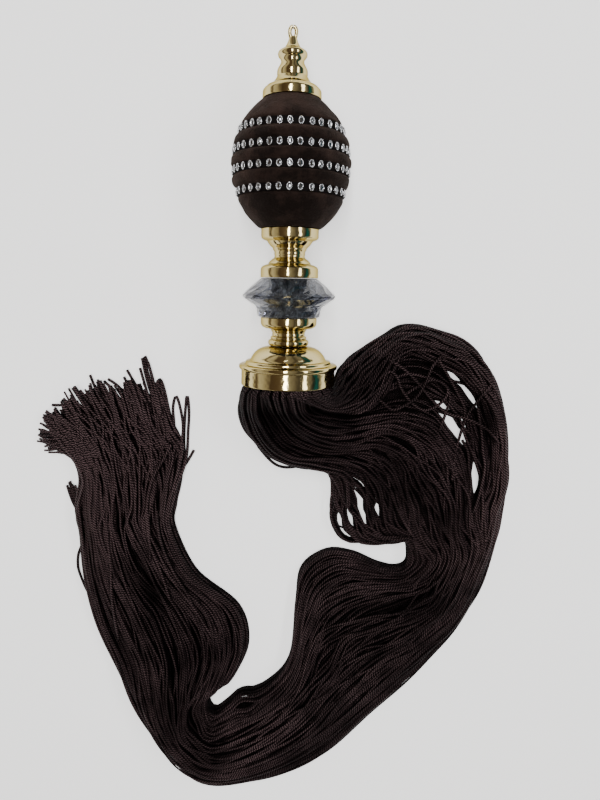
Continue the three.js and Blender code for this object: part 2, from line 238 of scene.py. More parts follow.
def tubes(paths, radius, sides):
    """Round tubes along paths [n, stations, xyz]: at each station a ring of radius r about the
    path, level in one direction and square to the path in the other."""
    ahead = np.gradient(paths, axis=1)
    ahead /= np.linalg.norm(ahead, axis=-1, keepdims=True)
    level = np.cross(ahead, [0.0, 0.0, 1.0])
    level /= np.linalg.norm(level, axis=-1, keepdims=True)
    raised = np.cross(level, ahead)
    angle = np.arange(sides) * 2 * math.pi / sides
    ring = np.cos(angle)[:, None] * level[:, :, None] - np.sin(angle)[:, None] * raised[:, :, None]
    return paths[:, :, None] + ring * np.reshape(radius, (-1, 1, 1, 1))


def run_along(paths):
    """How far each station of a path is from the path's start, measured along it."""
    stations = np.linalg.norm(np.diff(paths, axis=1), axis=-1)
    return np.concatenate([np.zeros((len(paths), 1)), np.cumsum(stations, 1)], 1)


# Materials


def math_node(operation, swapped=False):
    """An operator of Value that adds a Math node. Swapped, it takes the other value first."""
    def operator(self, other):
        values = (other, self) if swapped else (self, other)
        return self.finish.node("Math", {"operation": operation}, *values)
    return operator


class Value:
    """A shader socket. Arithmetic on it adds Math nodes to its finish."""
    __add__ = __radd__ = math_node("ADD")
    __mul__ = __rmul__ = math_node("MULTIPLY")
    __sub__, __rsub__ = math_node("SUBTRACT"), math_node("SUBTRACT", swapped=True)
    __truediv__, __pow__ = math_node("DIVIDE"), math_node("POWER")
    at_least, at_most = math_node("MAXIMUM"), math_node("MINIMUM")

    def __init__(self, finish, socket):
        self.finish, self.socket = finish, socket

    def sine(self):
        return self.finish.node("Math", {"operation": "SINE"}, self)

    def clamp(self):
        return self.at_least(0.0).at_most(1.0)


class Nodes:
    """A node tree. node() adds any node and gives back one of its outputs."""

    def __init__(self, tree):
        self.tree = tree

    def _feed(self, socket, value):
        if isinstance(value, Value):
            self.tree.links.new(value.socket, socket)
        elif hasattr(socket.default_value, "__len__") and len(value) < len(socket.default_value):
            socket.default_value = (*value, 1.0)
        else:
            socket.default_value = value

    def node(self, kind, settings=None, *values, output=0, **named):
        node = self.tree.nodes.new("ShaderNode" + kind)
        for key, setting in (settings or {}).items():
            if key == "stops":
                ramp = node.color_ramp
                for place, colour in setting[1:-1]:
                    ramp.elements.new(place)
                for element, (place, colour) in zip(ramp.elements, setting):
                    element.position, element.color = place, (*colour, 1.0)
            else:
                setattr(node, key, setting)
        for socket, value in zip(node.inputs, values):
            self._feed(socket, value)
        for key, value in named.items():
            self._feed(node.inputs[key.replace("_", " ").title()], value)
        return Value(self, node.outputs[output])

    def parts(self, vector):
        """The three parts of a vector."""
        split = self.tree.nodes.new("ShaderNodeSeparateXYZ")
        self.tree.links.new(vector.socket, split.inputs[0])
        return [Value(self, socket) for socket in split.outputs]

    def place(self):
        return self.node("TexCoord", output="Object")

    def noise(self, place, scale, detail=3.0, roughness=0.5):
        return self.node("TexNoise", None, vector=place, scale=scale, detail=detail,
                         roughness=roughness)

    def blend(self, share, first, second):
        """A colour between two, by a share from 0 to 1."""
        mix = self.tree.nodes.new("ShaderNodeMix")
        mix.data_type = "RGBA"
        self._feed(mix.inputs[0], share)
        self._feed(mix.inputs[6], first)
        self._feed(mix.inputs[7], second)
        return Value(self, mix.outputs[2])

    def bump(self, height, strength, distance):
        return self.node("Bump", None, strength=strength, distance=distance, height=height)


class Finish(Nodes):
    """A procedural material. set() feeds its Principled shader."""

    def __init__(self, name):
        self.material = bpy.data.materials.new(name)
        self.material.use_nodes = True
        super().__init__(self.material.node_tree)
        self.shader = self.tree.nodes["Principled BSDF"]

    def set(self, **values):
        for key, value in values.items():
            name = key.replace("_", " ").title().replace("Ior", "IOR")
            self._feed(self.shader.inputs[name], value)
        return self.material


# Tints and shades that go with the colours above: the darkest and lightest shade of each finish
# as shares of its colour, and how deep its relief is, metres
GOLD_EDGE, GOLD_SHADES, RIPPLE_DEPTH = (0.50, 0.44, 0.27, 1.0), (0.9, 1.08), 0.6 * MM
VELVET_SHEEN, VELVET_SHADES, PILE_DEPTH = (0.60, 0.42, 0.34, 1.0), (0.30, 1.9), 0.7 * MM
# For the cord, the lightest shade is a painted highlight along the backs of its plies, and the
# darkest is painted shade between them
CORD_SHEEN, CORD_SHADES, PLY_DEPTH = (0.60, 0.36, 0.42, 1.0), (0.22, 8.5), 0.6 * MM
# Painted shade: the cord's colour where it gets no painted light, as a share of its colour
CORD_IN_THE_DARK = 0.12
STONE_SHADES, FLOOR_SHADES = (0.85, 1.1), (0.99, 1.01)
SMOKE = (0.040, 0.045, 0.054), (0.27, 0.29, 0.34)
ROD_METAL = (0.010, 0.012, 0.011), (0.34, 0.38, 0.36)
BACKING_COLOUR, RIM_COLOUR = (0.004, 0.003, 0.003), (0.52, 0.52, 0.54)
CUT_COLOUR = (0.24, 0.25, 0.27)
FLOOR_GLOW = 0.9

# Painted light: the velvet is painted lighter towards the tip, by this share of the tone per metre
VELVET_PAINTED_LIGHT_FADE = 6.0

# The crystal's tint takes over from the smoke about this far to the side, metres
SMOKE_REACH = 22 * MM


def shades(colour, factors):
    """A colour's shades, by factors such as those of the darkest and the lightest."""
    return [tuple(min(1.0, part * factor) for part in colour) for factor in factors]


def drawn_out(finish, share):
    """Object places squeezed along the stem, so that a pattern on them is drawn out along it."""
    return finish.node("VectorMath", {"operation": "MULTIPLY"}, finish.place(), (1.0, share, 1.0))


def gold_finish():
    """Plated plastic: a mirror gloss with a slight ripple and faint handling marks."""
    gold = Finish("gold_plating")
    colour = bpy.context.scene.holdback_head.gold_colour
    place = gold.place()
    marks = gold.noise(place, 900.0, 4.0, 0.7)
    cloud = gold.noise(place, 60.0)
    ripple = gold.noise(place, 220.0, 1.0)
    return gold.set(
        base_color=gold.blend(cloud, *shades(colour, GOLD_SHADES)),
        metallic=1.0,
        specular_tint=GOLD_EDGE,
        roughness=0.05 + 0.08 * marks,
        normal=gold.bump(ripple, 0.30, RIPPLE_DEPTH))


def velvet_finish():
    """Velvet: short pile that lies this way and that, darker where it leans away, with a sheen, and
    painted lighter towards the tip.
    """
    velvet = Finish("brown_velvet")
    colour = bpy.context.scene.holdback_head.velvet_colour
    place = velvet.place()
    lean = velvet.noise(place, 55.0, 4.0, 0.6)
    pile = velvet.noise(place, 2600.0, 2.0, 0.8)
    tuft = velvet.noise(place, 700.0, 3.0, 0.7)
    _, along, _ = velvet.parts(place)
    # Painted light: the tone also rises along the stem towards the tip
    light = (lean * 3.0 - 1.25 + 0.6 * (tuft - 0.5) + along * VELVET_PAINTED_LIGHT_FADE).clamp()
    return velvet.set(
        base_color=velvet.blend(light, *shades(colour, VELVET_SHADES)),
        roughness=0.95,
        sheen_weight=0.09,
        sheen_roughness=0.45,
        sheen_tint=VELVET_SHEEN,
        specular_ior_level=0.08,
        normal=velvet.bump(pile * 0.6 + tuft, 0.8, PILE_DEPTH))


def cord_finish():
    """Two-ply twisted cord: two lobes wind round it, with a painted highlight along their backs and
    painted shade between. The map lie holds the painted light and shade from how open a cord lies,
    and a tone of its own with the swells' painted light added."""
    cord = Finish("twisted_cord")
    settings = bpy.context.scene.holdback_skirt
    colour = settings.cord_colour
    around, along, _ = cord.parts(cord.node("UVMap", {"uv_map": "twist"}))
    painted_light_share, own_tone_and_painted_light, _ = cord.parts(cord.node("UVMap", {"uv_map": "lie"}))
    turn = 2 * math.pi
    lobe = ((around * 2 + along / settings.twist_pitch * 2) * turn).sine() * 0.5 + 0.5
    # Painted shade: each cord is painted darker on its flanks and underside than on its top
    top = 0.5 - 0.5 * (around * turn).sine()
    place = cord.place()
    fibre = cord.noise(place, 2400.0, 2.0, 0.7)
    patch = cord.noise(place, 34.0, 3.0, 0.6)
    tone = (patch * 2.0 - 0.62 + 0.4 * own_tone_and_painted_light).clamp()
    # Painted highlight along the backs of the plies, painted shade in the grooves between them
    back = (lobe ** 3.0) * tone * (fibre * 1.6 + 0.2)
    # Painted light and shade: lit comes from the cord's top, how open it lies, and the dips and
    # swells
    lit = (painted_light_share * (0.06 + 0.94 * top * top)).clamp()
    strand = cord.blend(back.clamp(), *shades(colour, CORD_SHADES))
    # unlit is the colour of the painted shade, and strand is the colour with its painted highlights
    unlit, = shades(colour, [CORD_IN_THE_DARK])
    return cord.set(
        base_color=cord.blend(lit, unlit, strand),
        roughness=0.62 - 0.18 * lobe,
        specular_ior_level=0.06,
        sheen_weight=0.02,
        sheen_roughness=0.4,
        sheen_tint=CORD_SHEEN,
        normal=cord.bump(lobe + 0.2 * fibre, 1.0, PLY_DEPTH))


def crystal_finish():
    """Clear acrylic, tinted at its sides and smoky in the middle, with streaks along the stem."""
    crystal = Finish("smoky_crystal")
    colour = bpy.context.scene.holdback_head.crystal_colour
    place = crystal.place()
    cloud = crystal.noise(place, 120.0, 3.0)
    right, _, _ = crystal.parts(place)
    far = ((right * right) * (1 / SMOKE_REACH ** 2) - 0.45 + 0.3 * cloud).clamp()
    streak = (crystal.noise(drawn_out(crystal, 0.15), 240.0, 3.0, 0.7) * 3.0 - 1.1).clamp()
    middle = crystal.blend(streak, *SMOKE)
    return crystal.set(
        base_color=crystal.blend(far, middle, colour),
        roughness=0.03 + 0.04 * cloud,
        ior=1.49,
        transmission_weight=0.86)


def rod_finish():
    """The rod inside the crystal: dark metal with streaks along it."""
    rod = Finish("dark_rod")
    streak = rod.noise(drawn_out(rod, 0.12), 260.0, 3.0, 0.7)
    share = ((streak - 0.5) * 5.0 + 0.3).clamp()
    return rod.set(base_color=rod.blend(share, *ROD_METAL), metallic=0.6,
                   roughness=0.25 + 0.2 * streak)


def bright_finish(name, colour, gloss, metal):
    """A cut, stamped or plain surface that is slightly uneven: metal is 1 where it shines."""
    bright = Finish(name)
    mark = bright.noise(bright.place(), 1500.0, 2.0)
    return bright.set(
        base_color=bright.blend(mark, *shades(colour, STONE_SHADES)),
        metallic=metal,
        specular_ior_level=0.3 if metal else 0.05,
        roughness=gloss + 0.08 * mark)


def floor_finish(colour):
    """Plain matt board that glows a little, as a light table does."""
    floor = Finish("plain_floor")
    tone = floor.noise(floor.place(), 3.0)
    return floor.set(base_color=floor.blend(tone, *shades(colour, FLOOR_SHADES)),
                     roughness=0.9, specular_ior_level=0.1,
                     emission_color=(1.0, 1.0, 1.0, 1.0), emission_strength=FLOOR_GLOW)


# The head: outlines along the stem, mm: (along, radius, share of rounding at that corner)

TOP_CAP = [
    (36.9, 2, 0), (36.9, 17.8, 0.1), (38.2, 17.9, 0.3), (41.4, 17.8, 0.3), (42.6, 16.9, 0.4),
    (43.2, 16.2, 0.4), (43.9, 15.6, 0.3), (45.0, 12.9, 0.45), (47.0, 11.0, 0.45),
    (49.0, 9.7, 0.4), (49.8, 9.2, 0.4), (51.2, 9.3, 0.45), (53.4, 9.2, 0.45), (55.2, 8.2, 0.45),
    (56.8, 7.3, 0.45), (58.2, 6.9, 0.45), (59.6, 7.3, 0.45), (60.9, 8.6, 0.45),
    (62.3, 9.0, 0.45), (63.7, 8.4, 0.45), (64.7, 6.9, 0.4), (65.4, 5.3, 0.45),
    (67.4, 3.9, 0.45), (69.6, 2.9, 0.45), (71.6, 2.3, 0.45), (72.4, 1.3, 0.3), (72.4, 0.4, 0),
]
UPPER_SPOOL = [
    (-68.5, 2, 0), (-68.5, 18.3, 0.08), (-65.5, 18.3, 0.1), (-62.6, 18.2, 0.25),
    (-61.4, 17.3, 0.4), (-60.5, 15.6, 0.3), (-60.0, 13.6, 0.4), (-58.6, 12.9, 0.45),
    (-57.0, 11.2, 0.45), (-56.1, 9.8, 0.3), (-54.9, 9.4, 0.45), (-53.8, 9.9, 0.4),
    (-53.0, 9.6, 0.3), (-51.9, 10.0, 0.4), (-51.1, 10.7, 0.4), (-50.4, 10.6, 0.3),
    (-48.6, 12.6, 0.45), (-46.8, 13.9, 0.45), (-46.0, 14.4, 0.3), (-45.3, 16.4, 0.3),
    (-44.3, 17.9, 0.4), (-42.8, 18.1, 0.2), (-38.3, 18.1, 0.05), (-38.3, 2, 0),
]
LOWER_SPOOL = [
    (-111.3, 2, 0), (-111.3, 11.7, 0.1), (-110.5, 12.8, 0.4), (-109.1, 13.2, 0.45),
    (-107.7, 12.7, 0.4), (-107.0, 11.2, 0.25), (-106.2, 11.7, 0.45), (-105.3, 11.2, 0.4),
    (-104.9, 10.3, 0.25), (-103.9, 10.6, 0.45), (-103.1, 10.3, 0.3), (-102.3, 10.9, 0.45),
    (-101.2, 11.4, 0.4), (-100.5, 12.4, 0.3), (-100.0, 15.2, 0.3), (-99.0, 17.1, 0.4),
    (-97.6, 17.9, 0.3), (-93.3, 18.0, 0.05), (-93.3, 2, 0),
]
BELL = [
    (-124.5, 2, 0), (-124.5, 28.4, 0.02), (-136.2, 28.6, 0.05), (-136.4, 29.6, 0.4),
    (-136.1, 30.4, 0.4), (-134.0, 30.3, 0.2), (-126.4, 30.2, 0.1), (-126.0, 31.3, 0.3),
    (-125.2, 31.8, 0.45), (-124.0, 31.8, 0.45), (-123.2, 31.3, 0.4), (-122.9, 28.4, 0.2),
    (-122.2, 27.7, 0.4), (-120.9, 27.3, 0.4), (-120.5, 25.0, 0.25), (-119.4, 24.0, 0.45),
    (-117.8, 23.3, 0.45), (-115.8, 21.8, 0.45), (-114.2, 20.1, 0.45), (-112.8, 17.6, 0.45),
    (-112.0, 14.9, 0.45), (-111.6, 12.0, 0.2), (-111.6, 2, 0),
]

# The eye at the tip: a wire loop in the shape of a keyhole
EYE_TOP, EYE_BOTTOM = 77.6, 69.6
EYE_HALF_WIDTH = 2.6
EYE_WIRE = 1.1
EYE_DRAWN_IN = 0.55 # of its width, at the foot
EYE_GAP = 0.06 # radians, between the loop's two ends
EYE_SIDES = 14

# The ball, mm: an ellipsoid with grooves. Its ridges puff up, its velvet puckers in waves round it,
# and it is thinner at the shoulder, which starts SHOULDER_START along the stem. A strip's row gives
# the node, where it lies along the stem, and its number of stones.
BALL_HALF_LENGTH = 43.3
BALL_MIDDLE = -1.0
BALL_ENDS = (-38.0, 36.6)
RIDGE_PUFF = 0.7
GROOVE_HALF_WIDTH = 2.6
GROOVE_DEPTH = 1.7
PUCKER_DEPTH = 0.35
STRIP_LIFT = 1.0
SHOULDER_DROP, SHOULDER_START, SHOULDER_LENGTH = 1.4, 12, 18
BALL_ROWS, BALL_SIDES = 190, 220
PLAIN_PUFF = 0.8 # of the puff, between puckers
TROUGH_EASE = 0.35 # how far the velvet bridges a groove's edge, mm
PUCKER_WAVES = ((5, 0.5), (9, 0.9), (14, 1.4), (3, 0.3)) # round the ball, and their slant
END_HOLE = 0.1 # of the radius, where the ball's ends are closed
STRIPS = [("stone_strip_1", 18.2, 33), ("stone_strip_2", 6.4, 37), ("stone_strip_3", -5.2, 37),
          ("stone_strip_4", -17.4, 33)]

# A stone and its rim: rings of (share of the oval, height, mm), then corners, the turn of the first
# corner in corners, and whether it is smooth
RIM_RINGS = [(1.04, 0.0), (1.02, 0.60), (0.93, 0.90), (0.80, 0.80), (0.74, 0.35)]
CUT_RINGS = [(0.76, 0.40), (0.64, 0.80), (0.34, 1.10), (0.05, 1.13)]
STONE_LAYERS = [(np.array(RIM_RINGS), 16, 0, True), (np.array(CUT_RINGS), 8, 0.5, False)]
STRIP_MARGIN, STRIP_THICKNESS, STONE_SEAT, STRIP_SIDES = 0.3, 0.8, 0.1, 96

# How unevenly the stones are set: along the row, in stones, their turn, and the lean of their cut
PITCH_SLIP, STONE_TURN, STONE_LEAN = 0.06, 0.12, 0.10

# The crystal: rings of corners, (along, radius, turned by half a facet)
CRYSTAL_FACETS, CORE_SIDES = 20, 32
CRYSTAL_RINGS = [
    (-93.0, 19.0, 0), (-92.6, 19.9, 0), (-88.6, 20.5, 0.5), (-86.3, 21.6, 0), (-84.4, 24.6, 0.5),
    (-81.4, 28.9, 0), (-79.6, 29.7, 0.5), (-77.7, 28.4, 0), (-73.6, 23.8, 0.5), (-69.2, 18.9, 0),
    (-68.8, 17.8, 0),
]
CRYSTAL_CORE = [(-92.4, 13.5), (-90.5, 12.0), (-86.0, 9.5), (-81.0, 8.5), (-76.0, 9.5),
                (-71.5, 12.0), (-69.4, 13.5)]


def ellipsoid_radius(along):
    """The ellipsoid's radius, less a little at the shoulder below the top cap."""
    share = (along - BALL_MIDDLE) / BALL_HALF_LENGTH
    shoulder = SHOULDER_DROP * np.clip((along - SHOULDER_START) / SHOULDER_LENGTH, 0, 1) ** 2
    return (BALL_RADIUS - RIDGE_PUFF) * np.sqrt(1 - share ** 2) - shoulder


def eye_path():
    """The loop's middle line: an ellipse whose lower half is drawn in towards its foot, so that
    (x, y) = (w sin t (1 - k (1 - cos t) / 2), middle + h cos t)."""
    t = np.linspace(EYE_GAP, 2 * math.pi - EYE_GAP, 64)
    half = (EYE_TOP - EYE_BOTTOM) / 2
    right = EYE_HALF_WIDTH * np.sin(t) * (1 - EYE_DRAWN_IN * (1 - np.cos(t)) / 2)
    along = (EYE_TOP + EYE_BOTTOM) / 2 + half * np.cos(t)
    return np.stack([right, along, 0 * t], -1)


class HOLDBACK_OT_gold(bpy.types.Operator):
    """Makes the gold pieces: the top cap with its eye, two spools and the bell"""
    bl_idname = "holdback.gold"
    bl_label = "Gold pieces"

    def execute(self, context):
        finish = gold_finish()
        steps = context.scene.holdback_head.round_steps
        outlines = [("top_cap", TOP_CAP), ("upper_spool", UPPER_SPOOL),
                    ("lower_spool", LOWER_SPOOL), ("bell_cap", BELL)]
        for node, outline in outlines:
            shape = Shape()
            shape.add(pressed(off_stem(turned(rounded(outline), steps))))
            if node == "top_cap":
                shape.add(tubes(off_stem(eye_path())[None], EYE_WIRE * MM, EYE_SIDES))
            shape.piece("gold_" + node, [finish], "gold", (node,))
        return {"FINISHED"}


class HOLDBACK_OT_ball(bpy.types.Operator):
    """Makes the velvet ball with its grooves, puffed ridges and puckers"""
    bl_idname = "holdback.ball"
    bl_label = "Velvet ball"

    def execute(self, context):
        """The radius is the ellipsoid's, plus a puff that dips by a smooth trough at each groove,
        plus puckers: short waves round the ball that fade in the grooves."""
        along = np.linspace(*BALL_ENDS, BALL_ROWS)[:, None]
        angle = np.linspace(0, 2 * math.pi, BALL_SIDES, endpoint=False)[None]
        radius = ellipsoid_radius(along) + 0 * angle
        puff = np.full_like(radius, RIDGE_PUFF * PLAIN_PUFF)
        for _, at, _ in STRIPS:
            trough = 1 / (1 + np.abs((along - at) / (GROOVE_HALF_WIDTH + TROUGH_EASE)) ** 6)
            puff -= trough * (GROOVE_DEPTH + RIDGE_PUFF * PLAIN_PUFF)
        rng = np.random.default_rng(SEED)
        pucker = np.zeros_like(radius)
        for waves, slant in PUCKER_WAVES:
            phase = rng.uniform(0, 2 * math.pi, 2)
            pucker += np.sin(waves * angle + phase[0] + 2.5 * np.sin(along * slant / 4 + phase[1]))
        radius = radius + puff + PUCKER_DEPTH / 2 * pucker * np.clip(puff, 0, 1)
        grid = round_stem(along, radius, angle)
        start, end = grid[[0, -1]] * (END_HOLE, 1, END_HOLE)
        shape = Shape()
        shape.add(pressed(off_stem(np.concatenate([start[None], grid, end[None]]))))
        ball = shape.piece("velvet_cover", [velvet_finish()], "velvet", ("velvet_ball",))
        return {"FINISHED"}


class HOLDBACK_OT_stones(bpy.types.Operator):
    """Makes the four strips of oval stones, each stone in a raised rim"""
    bl_idname = "holdback.stones"
    bl_label = "Strips of stones"

    def execute(self, context):
        """Each stone is rings of an oval: the rim climbs, rounds over and dips, and the stone rises
        inside it in facets to a flat table. Ovals are placed by angle round the ball."""
        settings = context.scene.holdback_head
        width, length = settings.stone_width / MM / 2, settings.stone_length / MM / 2
        finishes = [bright_finish("dark_backing", BACKING_COLOUR, 0.7, 0.0),
                    bright_finish("silver_rim", RIM_COLOUR, 0.22, 1.0),
                    bright_finish("clear_stone", CUT_COLOUR, 0.05, 1.0)]
        rng = np.random.default_rng(SEED + 1)
        for name, at, count in STRIPS:
            shape = Shape()
            reach = GROOVE_HALF_WIDTH - STRIP_MARGIN
            floor = ellipsoid_radius(at) - GROOVE_DEPTH + STRIP_LIFT
            under = floor - STRIP_THICKNESS
            band = np.array([(at - reach, under), (at - reach, floor), (at + reach, floor),
                             (at + reach, under)])
            shape.add(off_stem(turned(band, STRIP_SIDES)), 0, False)
            for k in range(count):
                angle = 2 * math.pi * (k + rng.uniform(-PITCH_SLIP, PITCH_SLIP)) / count
                turn = rng.uniform(-STONE_TURN, STONE_TURN)
                lean = rng.uniform(-STONE_LEAN, STONE_LEAN, 2)
                for finish, (rings, corners, offset, smooth) in enumerate(STONE_LAYERS, 1):
                    t = (np.arange(corners) + offset) * 2 * math.pi / corners
                    side = rings[:, :1] * width * np.sin(t)
                    along = rings[:, :1] * length * np.cos(t)
                    rise = rings[:, 1:] + (0 if smooth else lean[0] * side + lean[1] * along)
                    side, along = (side * math.cos(turn) - along * math.sin(turn),
                                   side * math.sin(turn) + along * math.cos(turn))
                    up = floor - STONE_SEAT + rise + 0 * t
                    grid = np.stack([side * math.cos(angle) + up * math.sin(angle), at + along,
                                     up * math.cos(angle) - side * math.sin(angle)], -1)
                    shape.add(off_stem(grid), finish, smooth)
            shape.piece(name.replace("stone_strip", "stones"), finishes, "stone_strip", (name,))
        return {"FINISHED"}


class HOLDBACK_OT_crystal(bpy.types.Operator):
    """Makes the faceted smoky disc"""
    bl_idname = "holdback.crystal"
    bl_label = "Crystal disc"

    def execute(self, context):
        """Rings of corners at the facets' points, every other ring turned by half a facet."""
        rings = []
        for along, radius, turn in CRYSTAL_RINGS:
            angle = (np.arange(CRYSTAL_FACETS) + turn) * 2 * math.pi / CRYSTAL_FACETS
            rings.append(round_stem(along, radius, angle))
        shape = Shape()
        shape.add(off_stem(np.array(rings)), 0, False)
        shape.piece("crystal_facets", [crystal_finish()], "crystal", ("crystal_disc",))
        core = Shape()
        core.add(off_stem(turned(np.array(CRYSTAL_CORE), CORE_SIDES)))
        core.piece("crystal_core", [rod_finish()], "crystal")
        return {"FINISHED"}


# The skirt

# Where the bundle leaves the bell: places along the stem and the bundle's radius there, mm
ROOTS = [(-127.0, 26.2), (-137.0, 27.3), (-140.5, 30.4)]
ROOT_TOP, ROOT_INSET = 0.97, 0.99 # the highest share of a cord there, and of the radius it keeps to

# Slices of the whole skirt past the hump, mm: outer, middle and inner point, height at the middle
TRAIL = [
    (150.5, -244, 123, -257, 87.5, -266.5, 21), (141, -280.5, 115, -281, 79.5, -272.5, 20),
    (133.5, -301, 107, -296, 65, -269.5, 18), (124.5, -319, 90, -310, 47.5, -261.5, 16),
    (111, -338.5, 73, -320, 28.5, -260, 15), (91.5, -361, 53, -334, 11.5, -273.5, 14),
    (66, -386.5, 34, -354, 8, -300.5, 16), (35, -418.5, 17, -378, 4.5, -343.5, 18),
    (3, -436, -6, -398, -12.5, -365, 20), (-32, -444.5, -33, -412, -35, -375, 20),
    (-59, -442.5, -54, -416, -50, -386.5, 22), (-79, -427.5, -68, -407, -56, -378.5, 23),
    (-97, -405.5, -76, -390, -52, -366.5, 22), (-111.5, -381, -77, -371, -38, -360, 20),
    (-125, -351.5, -76, -342, -26, -335, 16), (-139, -319, -85, -311, -33, -305.5, 15),
    (-146, -283, -104, -279, -64.5, -279, 16), (-148, -250, -115, -247, -80, -246, 17),
]

# Shares of the height: the trail's at its edges, the bed's, and how far a stream falls to its
# edges. TRAIL_EDGE is the trail's outermost lane, of its half width.
EDGE_HEIGHT, BED_SHARE, STREAM_FALL = 0.32, 0.2, 0.8
TRAIL_EDGE = 0.98

# How thick bed and stray cords are beside a plain one, whose own varies by GIRTH_SPREAD
BED_GIRTH, STRAY_GIRTH, GIRTH_SPREAD = 1.25, 1.3, 0.1
TUBE_SIDES = 4
SHORTEST_STEP = 1e-9 # mm, in place of a step of nought when a direction is worked out
CLEARANCE = 1.08 # the least height of a cord's middle over the floor, in its radii
COLUMN_MARGIN, END_MARGIN = 0.06, 0.002 # round a cord's column on the map OFBake
TWIST_SLIP = 0.01 # the most by which the plies of two cords are out of step, metres
ROW_STATIONS = 14 # along a path, from one row to the next
STRAY_STATIONS, STRAY_STEPS = 12, 60 # the same for a stray cord, and its rings

# Painted shade on the cords, by how open a cord lies: cells, mm, how many cells round it count, the
# depths under the highest cord there, and below the pile around, at which it is painted dark, and
# the height, mm, from which its painted light is full. A cord on the surface has LOW_LIGHT, and
# none has less than DIMMEST.
CELL = 2.0
REACH = 4
UNDER_DEPTH = 3.5
BELOW_DEPTH = 11.0
LIT_HEIGHT = 8.0
LOW_LIGHT, SHADOW, DIMMEST = 0.4, 0.9, 0.06

# Lanes across a stream, in its half widths: the outermost lane, how unevenly bed and other cords
# are spread, in lanes, the pull of a lock on its cords, and the steps from row to row by which
# locks drift, layers slide, and cords wander and climb. A few cords rove further, on top.
LANE_EDGE, BED_SPREAD, CORD_SPREAD = 0.97, 0.1, 0.4
LOCK_PULL, LOCK_SINK, LOCK_DRIFT = 0.7, 0.06, 0.5
LAYER_SLIDE, CLIMB, HIGHEST = 0.055, 0.05, 1.04
ROVERS, ROVER_WALK, CORD_WALK = 0.14, 0.085, 0.032
FIRST_DRIFT = 6 # the most by which locks have drifted at the first row, radians

# Where in its layer a cord may lie, and the bed's lowest share of the height and how far its
# highest one stays below BED_SHARE
LAYER_FILL = (0.1, 0.9)
BED_LOWEST, BED_BELOW = 0.02, 0.05

# How cords sway along their paths: waves as (length in stations, size in mm) of a lock, of a cord,
# of the frayed last stretch and of the height. The sway grows from SWAY_START over SWAY_GROWTH
# stations, and is less at the edges. Bed cords fray less.
LOCK_WAVES = ((170, 2.0), (83, 1.2))
CORD_WAVES = ((97, 0.9), (47, 0.6), (23, 0.28))
FRAY_WAVES = ((61, 2.6), (31, 2.0), (17, 0.9))
HEAVE_WAVES = ((61, 0.6), (29, 0.35))
SWAY_START, SWAY_GROWTH, EDGE_CALM = 40, 50, 0.85
FRAYED, BED_FRAY = 80, 0.2

# How far apart the phases of those waves are: from layer to layer, from lock to lock, and as
# multiples of a cord's own phase
LAYER_PHASE, LOCK_PHASE, FRAY_PHASE, HEAVE_PHASE = 2.1, 1.7, 2.3, 1.7

# The cut ends fan out: the same three points, in the photograph's pixels, and the height, mm
FAN = [
    (76, 508, 124, 503, 174, 507, 17), (79, 482, 122, 474, 180, 478, 15),
    (72, 460, 113, 446, 181, 452, 13), (54, 450, 96, 417, 173, 426, 11),
    (27, 449, 74, 383, 163, 380, 8),
]

# The cut ends stand in tufts: how many to each half of the trail's width, how far a cord is drawn
# to the middle of its tuft in the last rows, and the most that a tuft or a cord is cut short by,
# as shares of the cord's length
TUFTS = 9
TUFT_PULL = {1: 0.8, 2: 0.25}
TUFT_CUT = 0.013
CORD_CUT = 0.014

